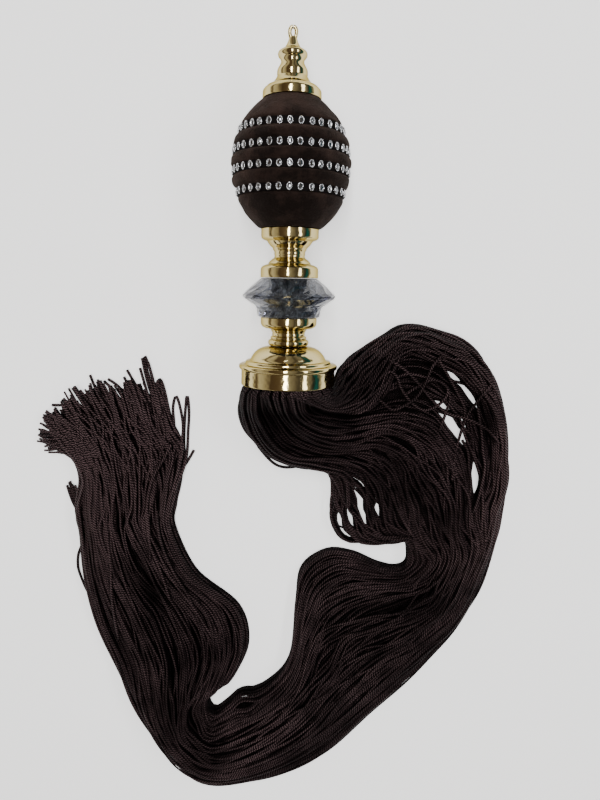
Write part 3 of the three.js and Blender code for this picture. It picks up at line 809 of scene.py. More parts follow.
# Streams of cords from the bell to the trail. Each has the cords of its bed and its other cords,
# their layers and locks, the span of the bell's width that it leaves from, -1 to 1 from left to
# right, the share of the bundle's height, the span of the trail's width that it joins, and rows in
# pixels: one edge, the middle and the other edge, then the lowest and highest height, mm.
STREAMS = {
    "outer": {
        "bed": 22, "cords": 96, "layers": 5, "locks": 5, "leaves": (1.0, 0.12),
        "heights": (0.25, 1.0),
        "joins": (-1.0, -0.38),
        "rows": [
            (334, 388, 328, 402, 317, 406, 16, 50), (335, 383, 340, 401, 343, 413, 8, 42),
            (337, 376, 352, 395, 364, 413, 6, 36), (340, 369, 361, 386, 381, 402, 5, 33),
            (347, 361, 368, 375, 391, 385, 4, 31), (358, 352, 377, 361, 396, 368, 3, 29),
            (371, 344, 386, 350, 399, 356, 2, 27), (386, 336, 396, 343, 406, 352, 1, 26),
            (401, 327, 409, 341, 418, 356, 0, 24), (421, 326, 427, 344, 434, 364, 0, 22),
            (441, 332, 444, 351, 449, 373, 0, 21), (464, 340, 461, 361, 463, 383, 0, 20),
            (481, 355, 474, 375, 474, 394, 0, 20), (493, 374, 485, 391, 482, 408, 0, 20),
            (501, 395, 493, 408, 487, 424, 0, 21), (505, 422, 499, 432, 490, 443, 0, 22),
            (506, 452, 498, 457, 489, 463, 0, 22), (505, 482, 496, 484, 484, 486, 0, 22),
            (501, 509, 489, 509, 474, 510, 0, 21),
        ],
    },
    "under": {
        "bed": 38, "cords": 30, "layers": 2, "locks": 5, "leaves": (0.8, 0.1),
        "heights": (0.0, 0.4),
        "joins": (-0.80, -0.2),
        "rows": [
            (331, 404, 322, 408, 312, 409, 6, 26), (352, 402, 345, 409, 335, 415, 2, 18),
            (376, 384, 370, 401, 362, 415, 0, 13), (396, 354, 396, 384, 391, 414, 0, 12),
            (420, 346, 420, 382, 417, 418, 0, 11), (447, 355, 442, 393, 439, 430, 0, 11),
            (470, 375, 460, 410, 454, 447, 0, 11), (485, 399, 473, 433, 462, 468, 0, 11),
            (492, 432, 482, 458, 467, 489, 0, 11), (492, 466, 481, 486, 467, 509, 0, 11),
            (486, 500, 474, 513, 458, 527, 0, 12),
        ],
    },
    "middle": {
        "bed": 62, "cords": 118, "layers": 6, "locks": 6, "leaves": (0.55, -0.55),
        "heights": (0.0, 1.0),
        "joins": (-0.62, 0.72),
        "rows": [
            (316, 407, 294, 414, 271, 418, 4, 46), (334, 414, 310, 429, 284, 439, 2, 37),
            (355, 416, 332, 435, 307, 453, 0, 30), (376, 413, 357, 434, 335, 457, 0, 26),
            (398, 411, 385, 429, 362, 455, 0, 24), (420, 414, 406, 435, 378, 465, 0, 22),
            (441, 425, 421, 448, 387, 481, 0, 20), (457, 442, 434, 466, 392, 498, 0, 19),
            (467, 466, 443, 486, 399, 514, 0, 19), (473, 492, 449, 506, 406, 529, 0, 19),
            (474, 516, 450, 527, 412, 540, 0, 20),
        ],
    },
    "inner": {
        "bed": 44, "cords": 66, "layers": 4, "locks": 5, "leaves": (-0.40, -1.0),
        "heights": (0.05, 0.97),
        "joins": (0.55, 1.0),
        "rows": [
            (274, 414, 256, 415, 239, 405, 4, 40), (290, 436, 267, 442, 246, 429, 2, 31),
            (315, 446, 288, 458, 266, 453, 0, 24), (345, 448, 316, 463, 292, 465, 0, 20),
            (373, 453, 343, 469, 318, 465, 0, 17), (396, 464, 362, 481, 330, 475, 0, 15),
            (409, 480, 371, 497, 331, 492, 0, 14), (414, 497, 374, 513, 329, 510, 0, 13),
            (416, 513, 379, 528, 333, 530, 0, 13), (418, 525, 388, 535, 351, 542, 0, 13),
            (420, 532, 401, 537, 377, 541, 0, 14), (422, 547, 413, 542, 402, 531, 0, 16),
        ],
    },
}

# Places where the cords part: pixels, half length and width, mm, the slope of the long way, degrees
# down to the right, and the share of the height above which they part: 0 where the floor shows.
# Cords keep OPENING_RIM, mm, clear of it, and are pushed less up to OPENING_REACH times as far. The
# pixels are read at the heights OPENING_HEIGHT and DIP_HEIGHT, mm. The push fades to nought at the
# ends, past the opening's own ends by a share TAPER_STRETCH and TAPER_MARGIN, mm.
OPENING_HEIGHT, OPENING_RIM, OPENING_REACH = 4.0, 1.0, 3.2
TAPER_STRETCH, TAPER_MARGIN, TAPER_POWER = 1.35, 1.5, 0.8
DIP_HEIGHT = 8.0
OPENINGS = [
    (452, 376, 6.0, 1.3, 33, 0), (469, 395, 9.0, 1.3, 44, 0), (442, 405.5, 4.4, 1.6, 25, 0),
    (454, 427, 9.3, 3.3, 62, 0), (463, 423, 3.3, 1.2, 75, 0), (464.5, 440, 3.6, 1.3, 85, 0),
    (475, 478, 9.9, 2.6, 85, 0), (356, 478, 10.0, 2.0, 84, 0), (360, 505, 13.0, 2.3, 66, 0),
    (350, 518, 5.6, 1.8, 60, 0), (340, 520, 5.4, 1.4, 68, 0), (347, 534, 5.0, 1.6, 28, 0),
    (377, 508, 4.2, 1.3, 58, 0), (246, 698, 4.6, 2.6, -36, 0),
    (378, 604, 32.0, 4.0, -10, 0.5), (324, 648, 26.0, 2.2, 86, 0.5), (421, 586, 16.0, 2.4, 72, 0.5),
    (397, 440, 24.0, 1.6, 22, 0.5), (420, 508, 22.0, 1.5, 75, 0.5), (460, 506, 22.0, 1.4, 88, 0.5),
    (144, 562, 26.0, 2.4, 78, 0.5), (87, 517, 24.0, 0.9, 80, 0.5), (108, 495, 26.0, 1.0, 78, 0.5),
    (132, 480, 20.0, 0.9, 86, 0.5), (160, 500, 24.0, 1.0, -82, 0.5), (128, 610, 24.0, 1.4, 66, 0.5),
    (170, 625, 24.0, 1.4, 76, 0.5), (196, 715, 14.0, 2.4, -70, 0.5),
]

# Places where the pile sinks in and its cords get painted shade, or where they get painted light,
# as if the pile swelled out, though their shape stays: pixels, half length and width, mm, the slope
# of the long way, and how much, above nought for a dip
DIPS_WITH_PAINTED_LIGHT = [
    (287, 428, 34, 15, 20, 0.55), (347, 418, 13, 6, 35, 0.7), (380, 398, 12, 5, 60, 0.5),
    (484, 428, 26, 5, 80, 0.7), (398, 463, 18, 7, 60, 0.6), (388, 606, 34, 8, -6, 0.8),
    (330, 640, 24, 5, 88, 0.5), (446, 640, 66, 12, -52, 0.6), (322, 742, 60, 17, -36, 0.65),
    (150, 585, 26, 7, 72, 0.8), (196, 722, 18, 8, 84, 0.7), (161, 490, 28, 5, 92, 0.6),
    (120, 640, 30, 5, 62, 0.5), (105, 430, 66, 62, 90, -1.2), (498, 462, 62, 11, 92, -1.0),
    (430, 348, 40, 11, 12, -0.4), (265, 725, 34, 18, 14, -0.3), (285, 397, 32, 4, 2, -0.9),
]
SINK = 0.25 # of the height, in a full dip
BRIGHTEST, SWELL_PAINTED_LIGHT = 1.6, 1.6 # the most painted light that a swell gives a cord, and how much it lifts the cord's tone, which brightens its painted highlights

# Single cords that stray from the mass: pixels and height, mm
STRAYS = [
    [(247, 383, 34), (244, 392, 33), (240, 402, 26), (239, 412, 18), (242, 424, 10), (248, 434, 6),
     (262, 448, 5)],
    [(258, 446, 5), (267, 457, 2), (275, 464, 1), (283, 467, 1), (293, 467, 1), (306, 464, 4)],
    [(375, 385, 24), (389, 372, 26), (397, 377, 24), (402, 390, 22), (412, 403, 19),
     (423, 410, 16), (433, 408, 14), (443, 401, 13), (448, 392, 13), (443, 383, 14),
     (425, 377, 18), (408, 374, 22), (396, 378, 20)],
    [(390, 360, 22), (405, 370, 23), (418, 383, 20), (432, 400, 15), (447, 413, 12),
     (467, 419, 14), (488, 430, 22), (500, 444, 18)],
    [(372, 396, 22), (383, 403, 25), (392, 410, 25), (402, 407, 24), (417, 397, 20),
     (426, 382, 20), (433, 366, 23), (445, 352, 18)],
    [(404, 396, 14), (417, 387, 17), (433, 380, 17), (446, 386, 14), (450, 399, 12),
     (446, 412, 12), (440, 430, 16)],
    [(438, 358, 18), (450, 379, 14), (458, 394, 11), (465, 410, 10), (463, 427, 9),
     (467, 441, 9), (472, 452, 10), (480, 477, 14), (483, 503, 17), (482, 530, 16)],
    [(492, 384, 16), (485, 393, 20), (475, 405, 15), (468, 415, 12), (461, 432, 10),
     (456, 452, 12), (452, 480, 18)],
    [(478, 408, 14), (482, 433, 18), (483, 452, 18), (485, 468, 20), (480, 493, 18),
     (474, 512, 16)],
    [(462, 440, 12), (468, 452, 13), (469, 468, 14), (471, 485, 14), (468, 504, 16)],
    [(97, 566, 3), (86, 543, 2), (79, 552, 1), (78, 566, 1), (82, 579, 1), (88, 592, 2),
     (98, 608, 4)],
    [(86, 560, 4), (83, 540, 3), (79, 527, 1), (77, 515, 1), (82, 500, 3), (92, 484, 6)],
    [(172, 466, 8), (175, 443, 5), (174, 423, 2), (173, 407, 1), (176, 396, 1), (180, 407, 1),
     (183, 427, 2), (181, 447, 5), (178, 470, 8), (172, 492, 9)],
    [(176, 486, 9), (184, 463, 3), (184, 440, 1), (185, 415, 1), (187, 395, 1), (189, 411, 1),
     (188, 434, 1), (187, 453, 2), (183, 470, 5), (174, 492, 8)],
    [(172, 490, 9), (180, 472, 5), (187, 462, 2), (194, 450, 1)],
    [(92, 478, 8), (77, 461, 4), (67, 454, 1), (57, 452, 1)],
    [(100, 566, 4), (90, 546, 5), (81, 522, 4), (75, 504, 2), (69, 487, 1)],
    [(103, 566, 6), (93, 546, 7), (84, 522, 6), (78, 504, 3), (72, 484, 2)],
    [(106, 560, 8), (96, 542, 8), (86, 520, 7), (81, 503, 5), (75, 485, 4)],
    [(101, 560, 6), (91, 540, 6), (80, 516, 4), (72, 500, 2), (67, 485, 1)],
    [(104, 556, 8), (95, 536, 8), (84, 514, 6), (76, 498, 3), (69, 482, 1)],
    [(98, 552, 6), (88, 528, 5), (79, 508, 3), (73, 492, 2), (70, 481, 1)],
    [(150, 560, 15.5), (149, 530, 16), (147, 505, 16), (152, 480, 15), (163, 460, 12.5),
     (171, 445, 9.5)],
    [(118, 640, 14), (112, 600, 15), (110, 560, 15.5), (104, 520, 15.5), (100, 490, 14.5)],
    [(170, 600, 14.5), (160, 570, 15), (150, 545, 16), (146, 515, 16)],
    [(205, 640, 12.5), (190, 600, 13.5), (172, 570, 14.5), (160, 540, 15.5), (156, 510, 15)],
    [(158, 412, 8), (150, 390, 3), (145, 372, 1), (142, 358, 1)],
    [(160, 416, 8), (152, 387, 4), (147, 370, 2), (144, 357, 1)],
    [(161, 414, 8), (154, 384, 4), (149, 366, 2), (145, 356, 1)],
    [(163, 418, 7), (157, 396, 4), (152, 376, 3), (148, 362, 2)],
    [(150, 402, 8), (144, 382, 3), (140, 368, 1)],
    [(146, 402, 8), (134, 382, 3), (127, 370, 1)],
    [(134, 404, 8), (129, 388, 4), (124, 377, 1)],
    [(132, 404, 8), (119, 387, 3), (108, 379, 1)],
    [(126, 408, 8), (114, 391, 4), (104, 381, 1)],
    [(104, 408, 8), (96, 390, 4), (90, 375, 1)],
    [(96, 408, 7), (86, 398, 3), (74, 388, 1)],
    [(90, 420, 7), (72, 407, 3), (52, 405, 1)],
    [(84, 430, 7), (64, 420, 3), (48, 416, 1)],
]


def camera_axes():
    """The camera's right, up and forward, in the part's frame: a tilt about X, then a roll."""
    sine, cosine = math.sin(CAMERA_TILT), math.cos(CAMERA_TILT)
    forward = np.array([0, -sine, -cosine])
    level_up = np.array([0, cosine, -sine])
    level_right = np.array([1.0, 0, 0])
    right = math.cos(CAMERA_ROLL) * level_right + math.sin(CAMERA_ROLL) * level_up
    up = math.cos(CAMERA_ROLL) * level_up - math.sin(CAMERA_ROLL) * level_right
    return right, up, forward


def seen(across, down, height):
    """The point, mm, that the camera sees at a pixel and that lies at a height: the pixel's ray is
    followed from the camera until it is that high."""
    right, up, forward = camera_axes()
    across, down, height = np.broadcast_arrays(
        *(np.asarray(value, float) for value in (across, down, height)))
    ray = (forward + right * ((across - PICTURE_MIDDLE[0]) / FOCAL_PIXELS)[..., None]
           - up * ((down - PICTURE_MIDDLE[1]) / FOCAL_PIXELS)[..., None])
    reach = (height - CAMERA_PLACE[2]) / ray[..., 2]
    return CAMERA_PLACE + ray * reach[..., None]


def spline(rows, at):
    """Rows of values [rows, ...] at places along them: a cubic between two rows whose slope at a
    row is half the step from the row before to the row after."""
    last = len(rows) - 1
    here = np.clip(np.floor(at).astype(int), 0, last - 1)
    f = (at - here).reshape((-1,) + (1,) * (rows.ndim - 1))
    a, b = rows[here], rows[here + 1]
    slope_a = (b - rows[np.maximum(here - 1, 0)]) / 2
    slope_b = (rows[np.minimum(here + 2, last)] - a) / 2
    return ((2 * f ** 3 - 3 * f ** 2 + 1) * a + (f ** 3 - 2 * f ** 2 + f) * slope_a
            + (3 * f ** 2 - 2 * f ** 3) * b + (f ** 3 - f ** 2) * slope_b)


def through(outer, middle, inner, across):
    """A parabola through three points, at across from -1 to 1."""
    across = across[..., None]
    return middle + across * (inner - outer) / 2 + across ** 2 * ((inner + outer) / 2 - middle)


def trail_slices():
    """The trail's and the fan's slices as [rows, 3 points, 2] and heights, mm."""
    table = np.array(TRAIL, float)
    fan = np.array(FAN, float)
    spots = seen(fan[:, 0:6:2], fan[:, 1:6:2], fan[:, 6:7] / 2)[..., :2]
    points = np.concatenate([table[:, :6].reshape(-1, 3, 2), spots])
    return points, np.concatenate([table[:, 6], fan[:, 6]])


def own_frame(points, across, down, height, slope):
    """Points in the frame of a pixel's place: how far they are, mm, along a way that slopes down to
    the right by so many degrees, how far across it, and the way across."""
    angle = -math.radians(slope)
    long_way = np.array([math.cos(angle), math.sin(angle)])
    wide_way = np.array([-long_way[1], long_way[0]])
    offset = points[..., :2] - seen(across, down, height)[:2]
    return offset @ long_way, offset @ wide_way, wide_way


def parted(paths, heights):
    """Cords go round each opening: in the opening's own frame (l along, w across), a cord on its
    side s moves out by s W h (1 - |w| / R), where h falls from 1 to 0 at the opening's ends."""
    for px, py, half_long, half_wide, slope, above in OPENINGS:
        along, across, wide_way = own_frame(paths, px, py, OPENING_HEIGHT, slope)
        width = half_wide + OPENING_RIM
        outside = width * OPENING_REACH
        end = half_long * TAPER_STRETCH + TAPER_MARGIN
        fall = np.clip(1 - (along / end) ** 2, 0, 1) ** TAPER_POWER
        near = fall * (np.abs(across) < outside)
        mean = (across * near).sum(1, keepdims=True) / np.maximum(near.sum(1, keepdims=True), 1e-6)
        side = np.where(mean < 0, -1.0, 1.0)
        push = width * fall * np.clip(1 - np.abs(across) / outside, 0, 1)
        push *= (heights >= above)[:, None]
        paths[..., :2] += (side * push)[..., None] * wide_way
    return paths


def dip(points):
    """How far the pile sinks in at points and how much painted shade it gets, or, below nought, how
    much painted light: the sum over the dips of depth exp(-(l / L)^2 - (w / W)^2)."""
    total = np.zeros(points.shape[:-1])
    for px, py, half_long, half_wide, slope, depth in DIPS_WITH_PAINTED_LIGHT:
        along, across, _ = own_frame(points, px, py, DIP_HEIGHT, slope)
        total += depth * np.exp(-(along / half_long) ** 2 - (across / half_wide) ** 2)
    return total


def evenly(paths, lengths, steps):
    """Each path again, at even steps along it, up to its own length."""
    even = np.empty((len(paths), steps, 3))
    for k, (path, far) in enumerate(zip(paths, run_along(paths))):
        at = np.linspace(0, far[-1] * lengths[k], steps)
        for axis in range(3):
            even[k, :, axis] = np.interp(at, far, path[:, axis])
    return even


def wandering(rng, stations, waves, spread):
    """Slow noise [cords, stations]: sines of a few wavelengths, each with its own phase. spread
    is by how much each cord's phase is shifted, and is alike for cords that wander alike."""
    at = np.arange(stations)
    total = np.zeros((len(spread), stations))
    for length, size in waves:
        phase = rng.uniform(0, 2 * math.pi)
        total += size * np.sin(2 * math.pi * at / length + phase + spread[:, None])
    return total


def folded(places):
    """Places beyond an edge, -1 or 1, are turned back from it."""
    return 1 - np.abs((places + 1) % 4 - 2)


def walks(rng, step, count, rows):
    """Random walks [count, rows] from row to row, each about nought."""
    walk = np.cumsum(rng.normal(0, step, (count, rows)), 1)
    return walk - walk.mean(1, keepdims=True)


def lanes(rng, stream, rows):
    """Where the cords of a stream lie at each row: their places across it, -1 to 1, and the shares
    of its height. The first cords are the bed, evenly spread at the bottom. The others lie in
    layers that slide over each other. A cord is drawn towards the middle of its lock by
    g sin(2 pi n b + p) / (2 pi n), where p drifts from row to row, and wanders by itself."""
    bed, loose, layers = stream["bed"], stream["cords"], stream["layers"]
    cords = bed + loose
    in_bed = np.arange(cords) < bed
    number = np.arange(cords) - bed * ~in_bed
    layer = np.where(in_bed, 0, number % layers)
    spread = np.where(in_bed, BED_SPREAD, CORD_SPREAD)
    lane = (number + 0.5 + rng.uniform(-1, 1, cords) * spread) / np.where(in_bed, bed, loose)
    b = -LANE_EDGE + 2 * LANE_EDGE * lane
    locks = stream["locks"] + layer % 2
    drift = np.cumsum(rng.normal(0, LOCK_DRIFT, (layers, rows)), 1)
    drift += rng.uniform(0, FIRST_DRIFT, (layers, 1))
    slide = walks(rng, LAYER_SLIDE, layers, rows)
    walk = walks(rng, 1, cords, rows)
    rover = rng.random(cords) < ROVERS
    walk *= np.where(rover, ROVER_WALK, CORD_WALK)[:, None]
    phase = 2 * math.pi * locks[:, None] * b[:, None] + drift[layer]
    gather = LOCK_PULL * np.sin(phase) / (2 * math.pi * locks[:, None])
    free = ~in_bed[:, None]
    place = folded(b[:, None] + free * (gather + walk + slide[layer]))
    climb = walks(rng, CLIMB, cords, rows)
    share = BED_SHARE + (1 - BED_SHARE) * (layer + rng.uniform(*LAYER_FILL, cords)) / layers
    share = np.where(rover, 1.0, share)[:, None] + climb - LOCK_SINK * (1 + np.cos(phase))
    bottom = rng.uniform(BED_LOWEST, BED_SHARE - BED_BELOW, (cords, 1))
    return place, np.where(free, np.clip(share, BED_SHARE, HIGHEST), bottom), in_bed, layer


def leave_bell(place, share, stream):
    """Where the cords of a stream lie at ROOTS, [rows, cords, xyz], mm: in the round bundle."""
    start, stop = stream["leaves"]
    low_share, high_share = stream["heights"]
    side = start + (stop - start) * (place + 1) / 2
    first = np.clip(share, 0, ROOT_TOP)
    level = np.sin(math.pi * (low_share + (high_share - low_share) * first - 0.5))
    guides = []
    for station, radius in ROOTS:
        right = radius * ROOT_INSET * side
        rise = np.sqrt(np.maximum(radius ** 2 - right ** 2, 0)) * level
        guides.append(off_stem(np.stack([right, 0 * right + station, rise], -1)) / MM)
    return guides


def cross_hump(place, share, stream):
    """Where they lie at the stream's own rows."""
    guides = np.empty((*place.T.shape, 3))
    for k, row in enumerate(np.array(stream["rows"], float)):
        low, high = row[6:]
        edges = seen(row[0:6:2], row[1:6:2], (low + high) / 2)[:, :2]
        arch = np.sqrt(1 - STREAM_FALL * place[:, k] ** 2)
        guides[k, :, :2] = through(*edges, place[:, k])
        guides[k, :, 2] = low + (high - low) * arch * share[:, k]
    return guides


def follow_trail(place, share, stream):
    """Where they lie at the trail's slices, their places across it, and the tufts they end in."""
    guides = np.empty((*place.T.shape, 3))
    places = np.empty_like(place)
    first, last = stream["joins"]
    for k, (edges, high) in enumerate(zip(*trail_slices())):
        lane = first + (last - first) * (place[:, k] + 1) / 2
        tuft = (np.floor(lane * TUFTS) + 0.5) / TUFTS
        lane += TUFT_PULL.get(len(guides) - k, 0.0) * (tuft - lane)
        across = np.clip(lane, -TRAIL_EDGE, TRAIL_EDGE)
        arch = EDGE_HEIGHT + (1 - EDGE_HEIGHT) * np.sqrt(1 - across ** 2)
        guides[k, :, :2] = through(*edges, across)
        guides[k, :, 2] = high * arch * share[:, k]
        places[:, k] = across
    return guides, places, np.floor(lane * TUFTS).astype(int) + 2 * TUFTS


def sway(rng, paths, edge, groups, in_bed):
    """Moves the paths aside and up: with their locks, each by itself, and by the fray of the ends.
    edge is how far across the stream a cord lies, and groups are the phases of the locks."""
    cords, stations = edge.shape
    ahead = np.gradient(paths[..., :2], axis=1)
    ahead /= np.maximum(np.linalg.norm(ahead, axis=-1, keepdims=True), SHORTEST_STEP)
    square = np.stack([-ahead[..., 1], ahead[..., 0]], -1)
    station = np.arange(stations)
    free = np.clip((station - SWAY_START) / SWAY_GROWTH, 0, 1) * ~in_bed[:, None]
    calm = free * (1 - EDGE_CALM * np.clip(np.abs(edge), 0, 1) ** 3)
    own = rng.uniform(0, 2 * math.pi, cords)
    aside = wandering(rng, stations, LOCK_WAVES, groups)
    aside += wandering(rng, stations, CORD_WAVES, own)
    loose = np.clip((station - (stations - FRAYED)) / FRAYED, 0, 1) ** 1.5
    fray = wandering(rng, stations, FRAY_WAVES, own * FRAY_PHASE)
    heave = wandering(rng, stations, HEAVE_WAVES, own * HEAVE_PHASE)
    fray *= loose * np.where(in_bed, BED_FRAY, 1.0)[:, None]
    paths[..., :2] += (aside * calm + fray)[..., None] * square
    paths[..., 2] += heave * free


def stream_paths(rng, stream, steps):
    """Cords of one stream, [cords, steps, xyz], mm, and how thick each is, 1 for a plain cord."""
    head = len(stream["rows"])
    place, share, in_bed, layer = lanes(rng, stream, head + len(TRAIL) + len(FAN))
    roots = leave_bell(place[:, 0], share[:, 0], stream)
    hump = cross_hump(place[:, :head], share[:, :head], stream)
    trail, joined, tufts = follow_trail(place[:, head:], share[:, head:], stream)
    guides = np.concatenate([roots, hump, trail])
    places = np.concatenate([place[:, :1].repeat(len(ROOTS), 1), place[:, :head], joined], 1)
    at = np.linspace(0, len(guides) - 1, (len(guides) - 1) * ROW_STATIONS)
    paths = spline(guides, at).transpose(1, 0, 2)
    edge = spline(places.T, at).T
    groups = layer * LAYER_PHASE + np.floor(edge[:, 0] * stream["locks"]) * LOCK_PHASE
    sway(rng, paths, edge, groups, in_bed)
    girths = rng.uniform(1 - GIRTH_SPREAD, 1 + GIRTH_SPREAD, len(paths))
    girths *= np.where(in_bed, BED_GIRTH, 1.0)
    tuft_cuts = TUFT_CUT * np.random.default_rng(SEED + 2).random(4 * TUFTS)
    lengths = 1 - tuft_cuts[tufts] - CORD_CUT * rng.random(len(paths)) ** 1.5
    return evenly(parted(paths, share.mean(1)), lengths, steps), girths


def stray_paths(radius):
    """The single cords of STRAYS, [cords, steps, xyz], mm. radius is a cord's, mm."""
    strays = []
    for rows in STRAYS:
        across, down, height = np.array(rows, float).T
        at = np.linspace(0, len(rows) - 1, len(rows) * STRAY_STATIONS)
        path = spline(seen(across, down, height + radius), at)
        strays.append(evenly(path[None], [1.0], STRAY_STEPS))
    return np.concatenate(strays)


def painted_light_shares(groups):
    """How much painted light each point of each cord gets, 0 to 1: less, as painted shade, by how
    far the highest cord in the same cell, and in the cells around it, stands above it, by how
    steeply it falls, and near the floor."""
    corner = np.min([paths[..., :2].min((0, 1)) for paths in groups.values()], 0)
    cells = {name: ((paths[..., :2] - corner) / CELL).astype(int) + REACH
             for name, paths in groups.items()}
    size = np.max([cell.max((0, 1)) for cell in cells.values()], 0) + REACH + 1
    highest = np.zeros(size)
    for name, paths in groups.items():
        np.maximum.at(highest, (cells[name][..., 0], cells[name][..., 1]), paths[..., 2])
    around = np.zeros(size)
    steps = [(i, j) for i in range(-REACH, REACH + 1) for j in range(-REACH, REACH + 1)]
    for i, j in steps:
        around += np.roll(highest, (i, j), (0, 1)) / len(steps)
    shares = {}
    for name, paths in groups.items():
        at = cells[name][..., 0], cells[name][..., 1]
        under = np.clip(highest[at] - paths[..., 2], 0, None) / UNDER_DEPTH
        below = np.clip(around[at] - paths[..., 2], 0, None) / BELOW_DEPTH
        steps_on = np.gradient(paths, axis=1)
        sink = -steps_on[..., 2] / np.linalg.norm(steps_on, axis=-1)
        low = LOW_LIGHT + (1 - LOW_LIGHT) * np.clip(paths[..., 2] / LIT_HEIGHT, 0, 1)
        shares[name] = low * np.clip(1 - SHADOW * (under + below) - SHADOW * sink, DIMMEST, 1)
    return shares


class HOLDBACK_OT_skirt(bpy.types.Operator):
    """Makes the skirt of twisted cords: four streams that join in one trail, and stray cords"""
    bl_idname = "holdback.skirt"
    bl_label = "Cord skirt"

    def execute(self, context):
        settings = context.scene.holdback_skirt
        radius = settings.cord_diameter / MM / 2
        finish = cord_finish()
        rng = np.random.default_rng(SEED)
        groups, girths = {}, {}
        for name, stream in STREAMS.items():
            groups[name], girths[name] = stream_paths(rng, stream, settings.cord_steps)
        groups["stray"] = stray_paths(radius)
        girths["stray"] = np.full(len(STRAYS), STRAY_GIRTH)
        for part in (groups, girths):
            middle = part.pop("middle")
            part["middle_a"], part["middle_b"] = middle[::2], middle[1::2]
        for paths in groups.values():
            paths[..., 2] *= 1 - SINK * np.clip(dip(paths), 0, 1)
            paths[..., 2] = np.maximum(paths[..., 2], radius * CLEARANCE)
        shares = painted_light_shares(groups)
        for name, paths in groups.items():
            self.bundle(name, paths, shares[name], radius * girths[name], finish, rng)
        return {"FINISHED"}

    def bundle(self, name, paths, shares, radii, finish, rng):
        """One piece of tubes. The map twist holds how far round and how far along, in metres. The
        map lie holds each cord's painted light and shade, from how open it lies and from the dips
        and swells, and its own tone with the swells' painted light added, and OFBake gives each
        cord a column of its own."""
        paths = paths * MM
        run = run_along(paths)
        around = np.linspace(0, 1, TUBE_SIDES + 1)
        inside = COLUMN_MARGIN + (1 - 2 * COLUMN_MARGIN) * around
        column = (np.arange(len(paths))[:, None, None] + inside) / len(paths)
        share = END_MARGIN + (1 - 2 * END_MARGIN) * run / run[:, -1:]
        size = np.empty((*run.shape, TUBE_SIDES + 1))

        def map_of(first, second):
            return np.stack(np.broadcast_arrays(first, second, size), -1)[..., :2]

        start = rng.uniform(0, TWIST_SLIP, (len(paths), 1))
        tone = rng.random((len(paths), 1, 1))
        # Painted light and shade: darker in the dips, lighter in the swells, on top of the painted
        # shade from how open a cord lies
        painted_dip_shading = dip(paths / MM)
        light = shares * np.clip(1 - painted_dip_shading, DIMMEST, BRIGHTEST)
        swell = SWELL_PAINTED_LIGHT * np.clip(painted_dip_shading, -1, 0)
        shape = Shape()
        shape.add(tubes(paths, radii * MM, TUBE_SIDES), maps={
            "OFBake": map_of(column, share[..., None]),
            "twist": map_of(around, (run + start)[..., None]),
            "lie": map_of(light[..., None], tone - swell[..., None])})
        shape.piece("cords_" + name, [finish], "cord", ("skirt",))


# What the gold mirrors: the room's brightness round the stem, from the left horizon over the top
# to the right horizon, as shares of the half turn. Seen straight, the surround is plain.
ROOM = [
    (0.00, (0.62, 0.58, 0.46)), (0.05, (0.10, 0.06, 0.04)), (0.10, (0.80, 0.76, 0.66)),
    (0.20, (0.50, 0.46, 0.38)), (0.27, (0.10, 0.07, 0.05)), (0.43, (0.14, 0.10, 0.07)),
    (0.47, (0.42, 0.40, 0.36)), (0.60, (0.22, 0.20, 0.17)), (0.66, (0.08, 0.07, 0.06)),
    (0.80, (0.30, 0.28, 0.25)), (0.87, (0.02, 0.03, 0.03)), (0.91, (0.01, 0.15, 0.20)),
    (0.95, (0.02, 0.08, 0.11)), (1.00, (0.62, 0.58, 0.46)),
]


# The soft lights: name, width and length, and place, metres, and the point that they face. Then how
# far the floor reaches each way, and the nearest and furthest that the camera sees.
LIGHTS = [("key", (0.16, 1.5), (-0.10, 0.10, 1.35)), ("side", (0.25, 1.5), (0.95, 0.10, 1.05))]
LIGHTS_FACE = np.array([0.0, -0.1, 0.03])
FLOOR_REACH = 40.0
CAMERA_SEES = 0.01, 100


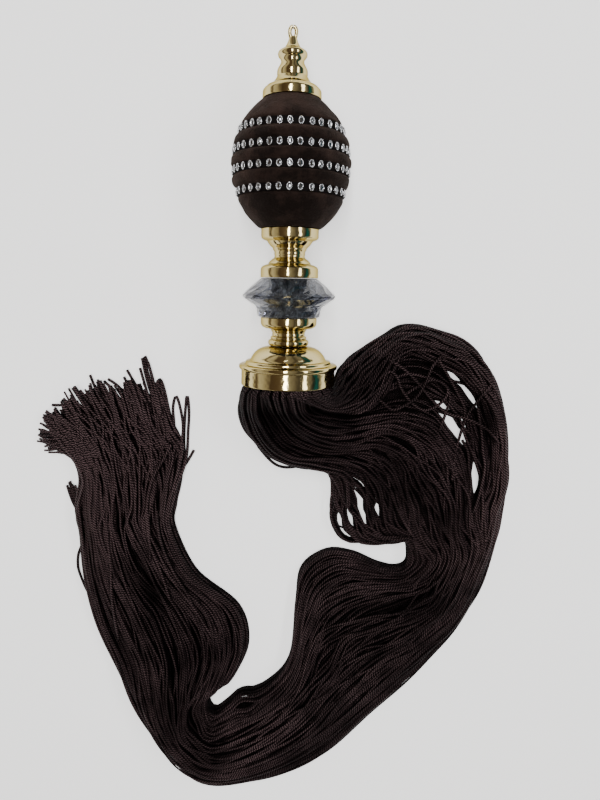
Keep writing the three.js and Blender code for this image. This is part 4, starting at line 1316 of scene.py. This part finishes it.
class HOLDBACK_OT_stage(bpy.types.Operator):
    """Makes the plain floor, the soft lights and the camera"""
    bl_idname = "holdback.stage"
    bl_label = "Stage"

    def stand(self, name, data, place, axes):
        """Puts a lamp or the camera at a place, turned to its right, up and back axes."""
        holder = bpy.data.objects.new(name, data)
        turn = Matrix([[*row] for row in np.stack(axes, 1)])
        holder.matrix_world = Matrix.Translation(place) @ turn.to_4x4()
        bpy.context.scene.collection.objects.link(holder)
        return holder

    def light(self, name, size, place, power):
        lamp = bpy.data.lights.new(name, "AREA")
        lamp.shape = "RECTANGLE"
        lamp.size, lamp.size_y = size
        lamp.energy = power
        back = np.array(place) - LIGHTS_FACE
        back /= np.linalg.norm(back)
        side = np.cross([0.0, 1.0, 0.0], back)
        side /= np.linalg.norm(side)
        self.stand(name, lamp, place, (side, np.cross(back, side), back))

    def execute(self, context):
        settings = context.scene.holdback_stage
        mesh = bpy.data.meshes.new("floor")
        corners = [(x * FLOOR_REACH, y * FLOOR_REACH, 0)
                   for x, y in ((-1, -1), (1, -1), (1, 1), (-1, 1))]
        mesh.from_pydata(corners, [], [(0, 1, 2, 3)])
        mesh.materials.append(floor_finish(tuple(settings.floor_colour)))
        floor = bpy.data.objects.new("floor", mesh)
        context.scene.collection.objects.link(floor)

        right, up, forward = camera_axes()
        camera = bpy.data.cameras.new("camera")
        camera.sensor_width, camera.lens = SENSOR_SIZE, LENS
        camera.clip_start, camera.clip_end = CAMERA_SEES
        context.scene.camera = self.stand("camera", camera, CAMERA_PLACE * MM,
                                          (right, up, -forward))

        world = bpy.data.worlds.new("surround")
        context.scene.world = world
        world.use_nodes = True
        room = Nodes(world.node_tree)
        right_part, _, height = room.parts(room.node("TexCoord", output="Generated"))
        half_turn = room.node("Math", {"operation": "ARCTAN2"}, right_part, height)
        view = room.node("ValToRGB", {"stops": ROOM}, half_turn / math.pi + 0.5)
        seen_straight = room.node("LightPath", output="Is Camera Ray")
        colour = room.blend(seen_straight, view, settings.floor_colour)
        background = world.node_tree.nodes["Background"]
        room.tree.links.new(colour.socket, background.inputs["Color"])
        background.inputs["Strength"].default_value = settings.surround
        for (name, size, place), power in zip(LIGHTS, (settings.key_power, settings.side_power)):
            self.light(name, size, place, power)
        return {"FINISHED"}


class HOLDBACK_PT_panel(bpy.types.Panel):
    bl_idname = "HOLDBACK_PT_panel"
    bl_label = "Holdback"
    bl_space_type = "VIEW_3D"
    bl_region_type = "UI"
    bl_category = "Holdback"

    def draw(self, context):
        for operator in OPERATORS:
            self.layout.operator(operator.bl_idname)
        for name in SETTINGS:
            group = getattr(context.scene, name)
            box = self.layout.box()
            for key in group.__annotations__:
                box.prop(group, key)


OPERATORS = (HOLDBACK_OT_stage, HOLDBACK_OT_gold, HOLDBACK_OT_ball, HOLDBACK_OT_stones,
             HOLDBACK_OT_crystal, HOLDBACK_OT_skirt)
SETTINGS = {"holdback_head": HeadSettings, "holdback_skirt": SkirtSettings,
            "holdback_stage": StageSettings}


def register():
    for item in (*SETTINGS.values(), *OPERATORS, HOLDBACK_PT_panel):
        bpy.utils.register_class(item)
    for name, group in SETTINGS.items():
        setattr(bpy.types.Scene, name, PointerProperty(type=group))


def unregister():
    for name in SETTINGS:
        delattr(bpy.types.Scene, name)
    for item in (HOLDBACK_PT_panel, *reversed(OPERATORS), *SETTINGS.values()):
        bpy.utils.unregister_class(item)


def main():
    register()
    for operator in OPERATORS:
        group, name = operator.bl_idname.split(".")
        getattr(getattr(bpy.ops, group), name)()


if __name__ == "__main__":
    main()
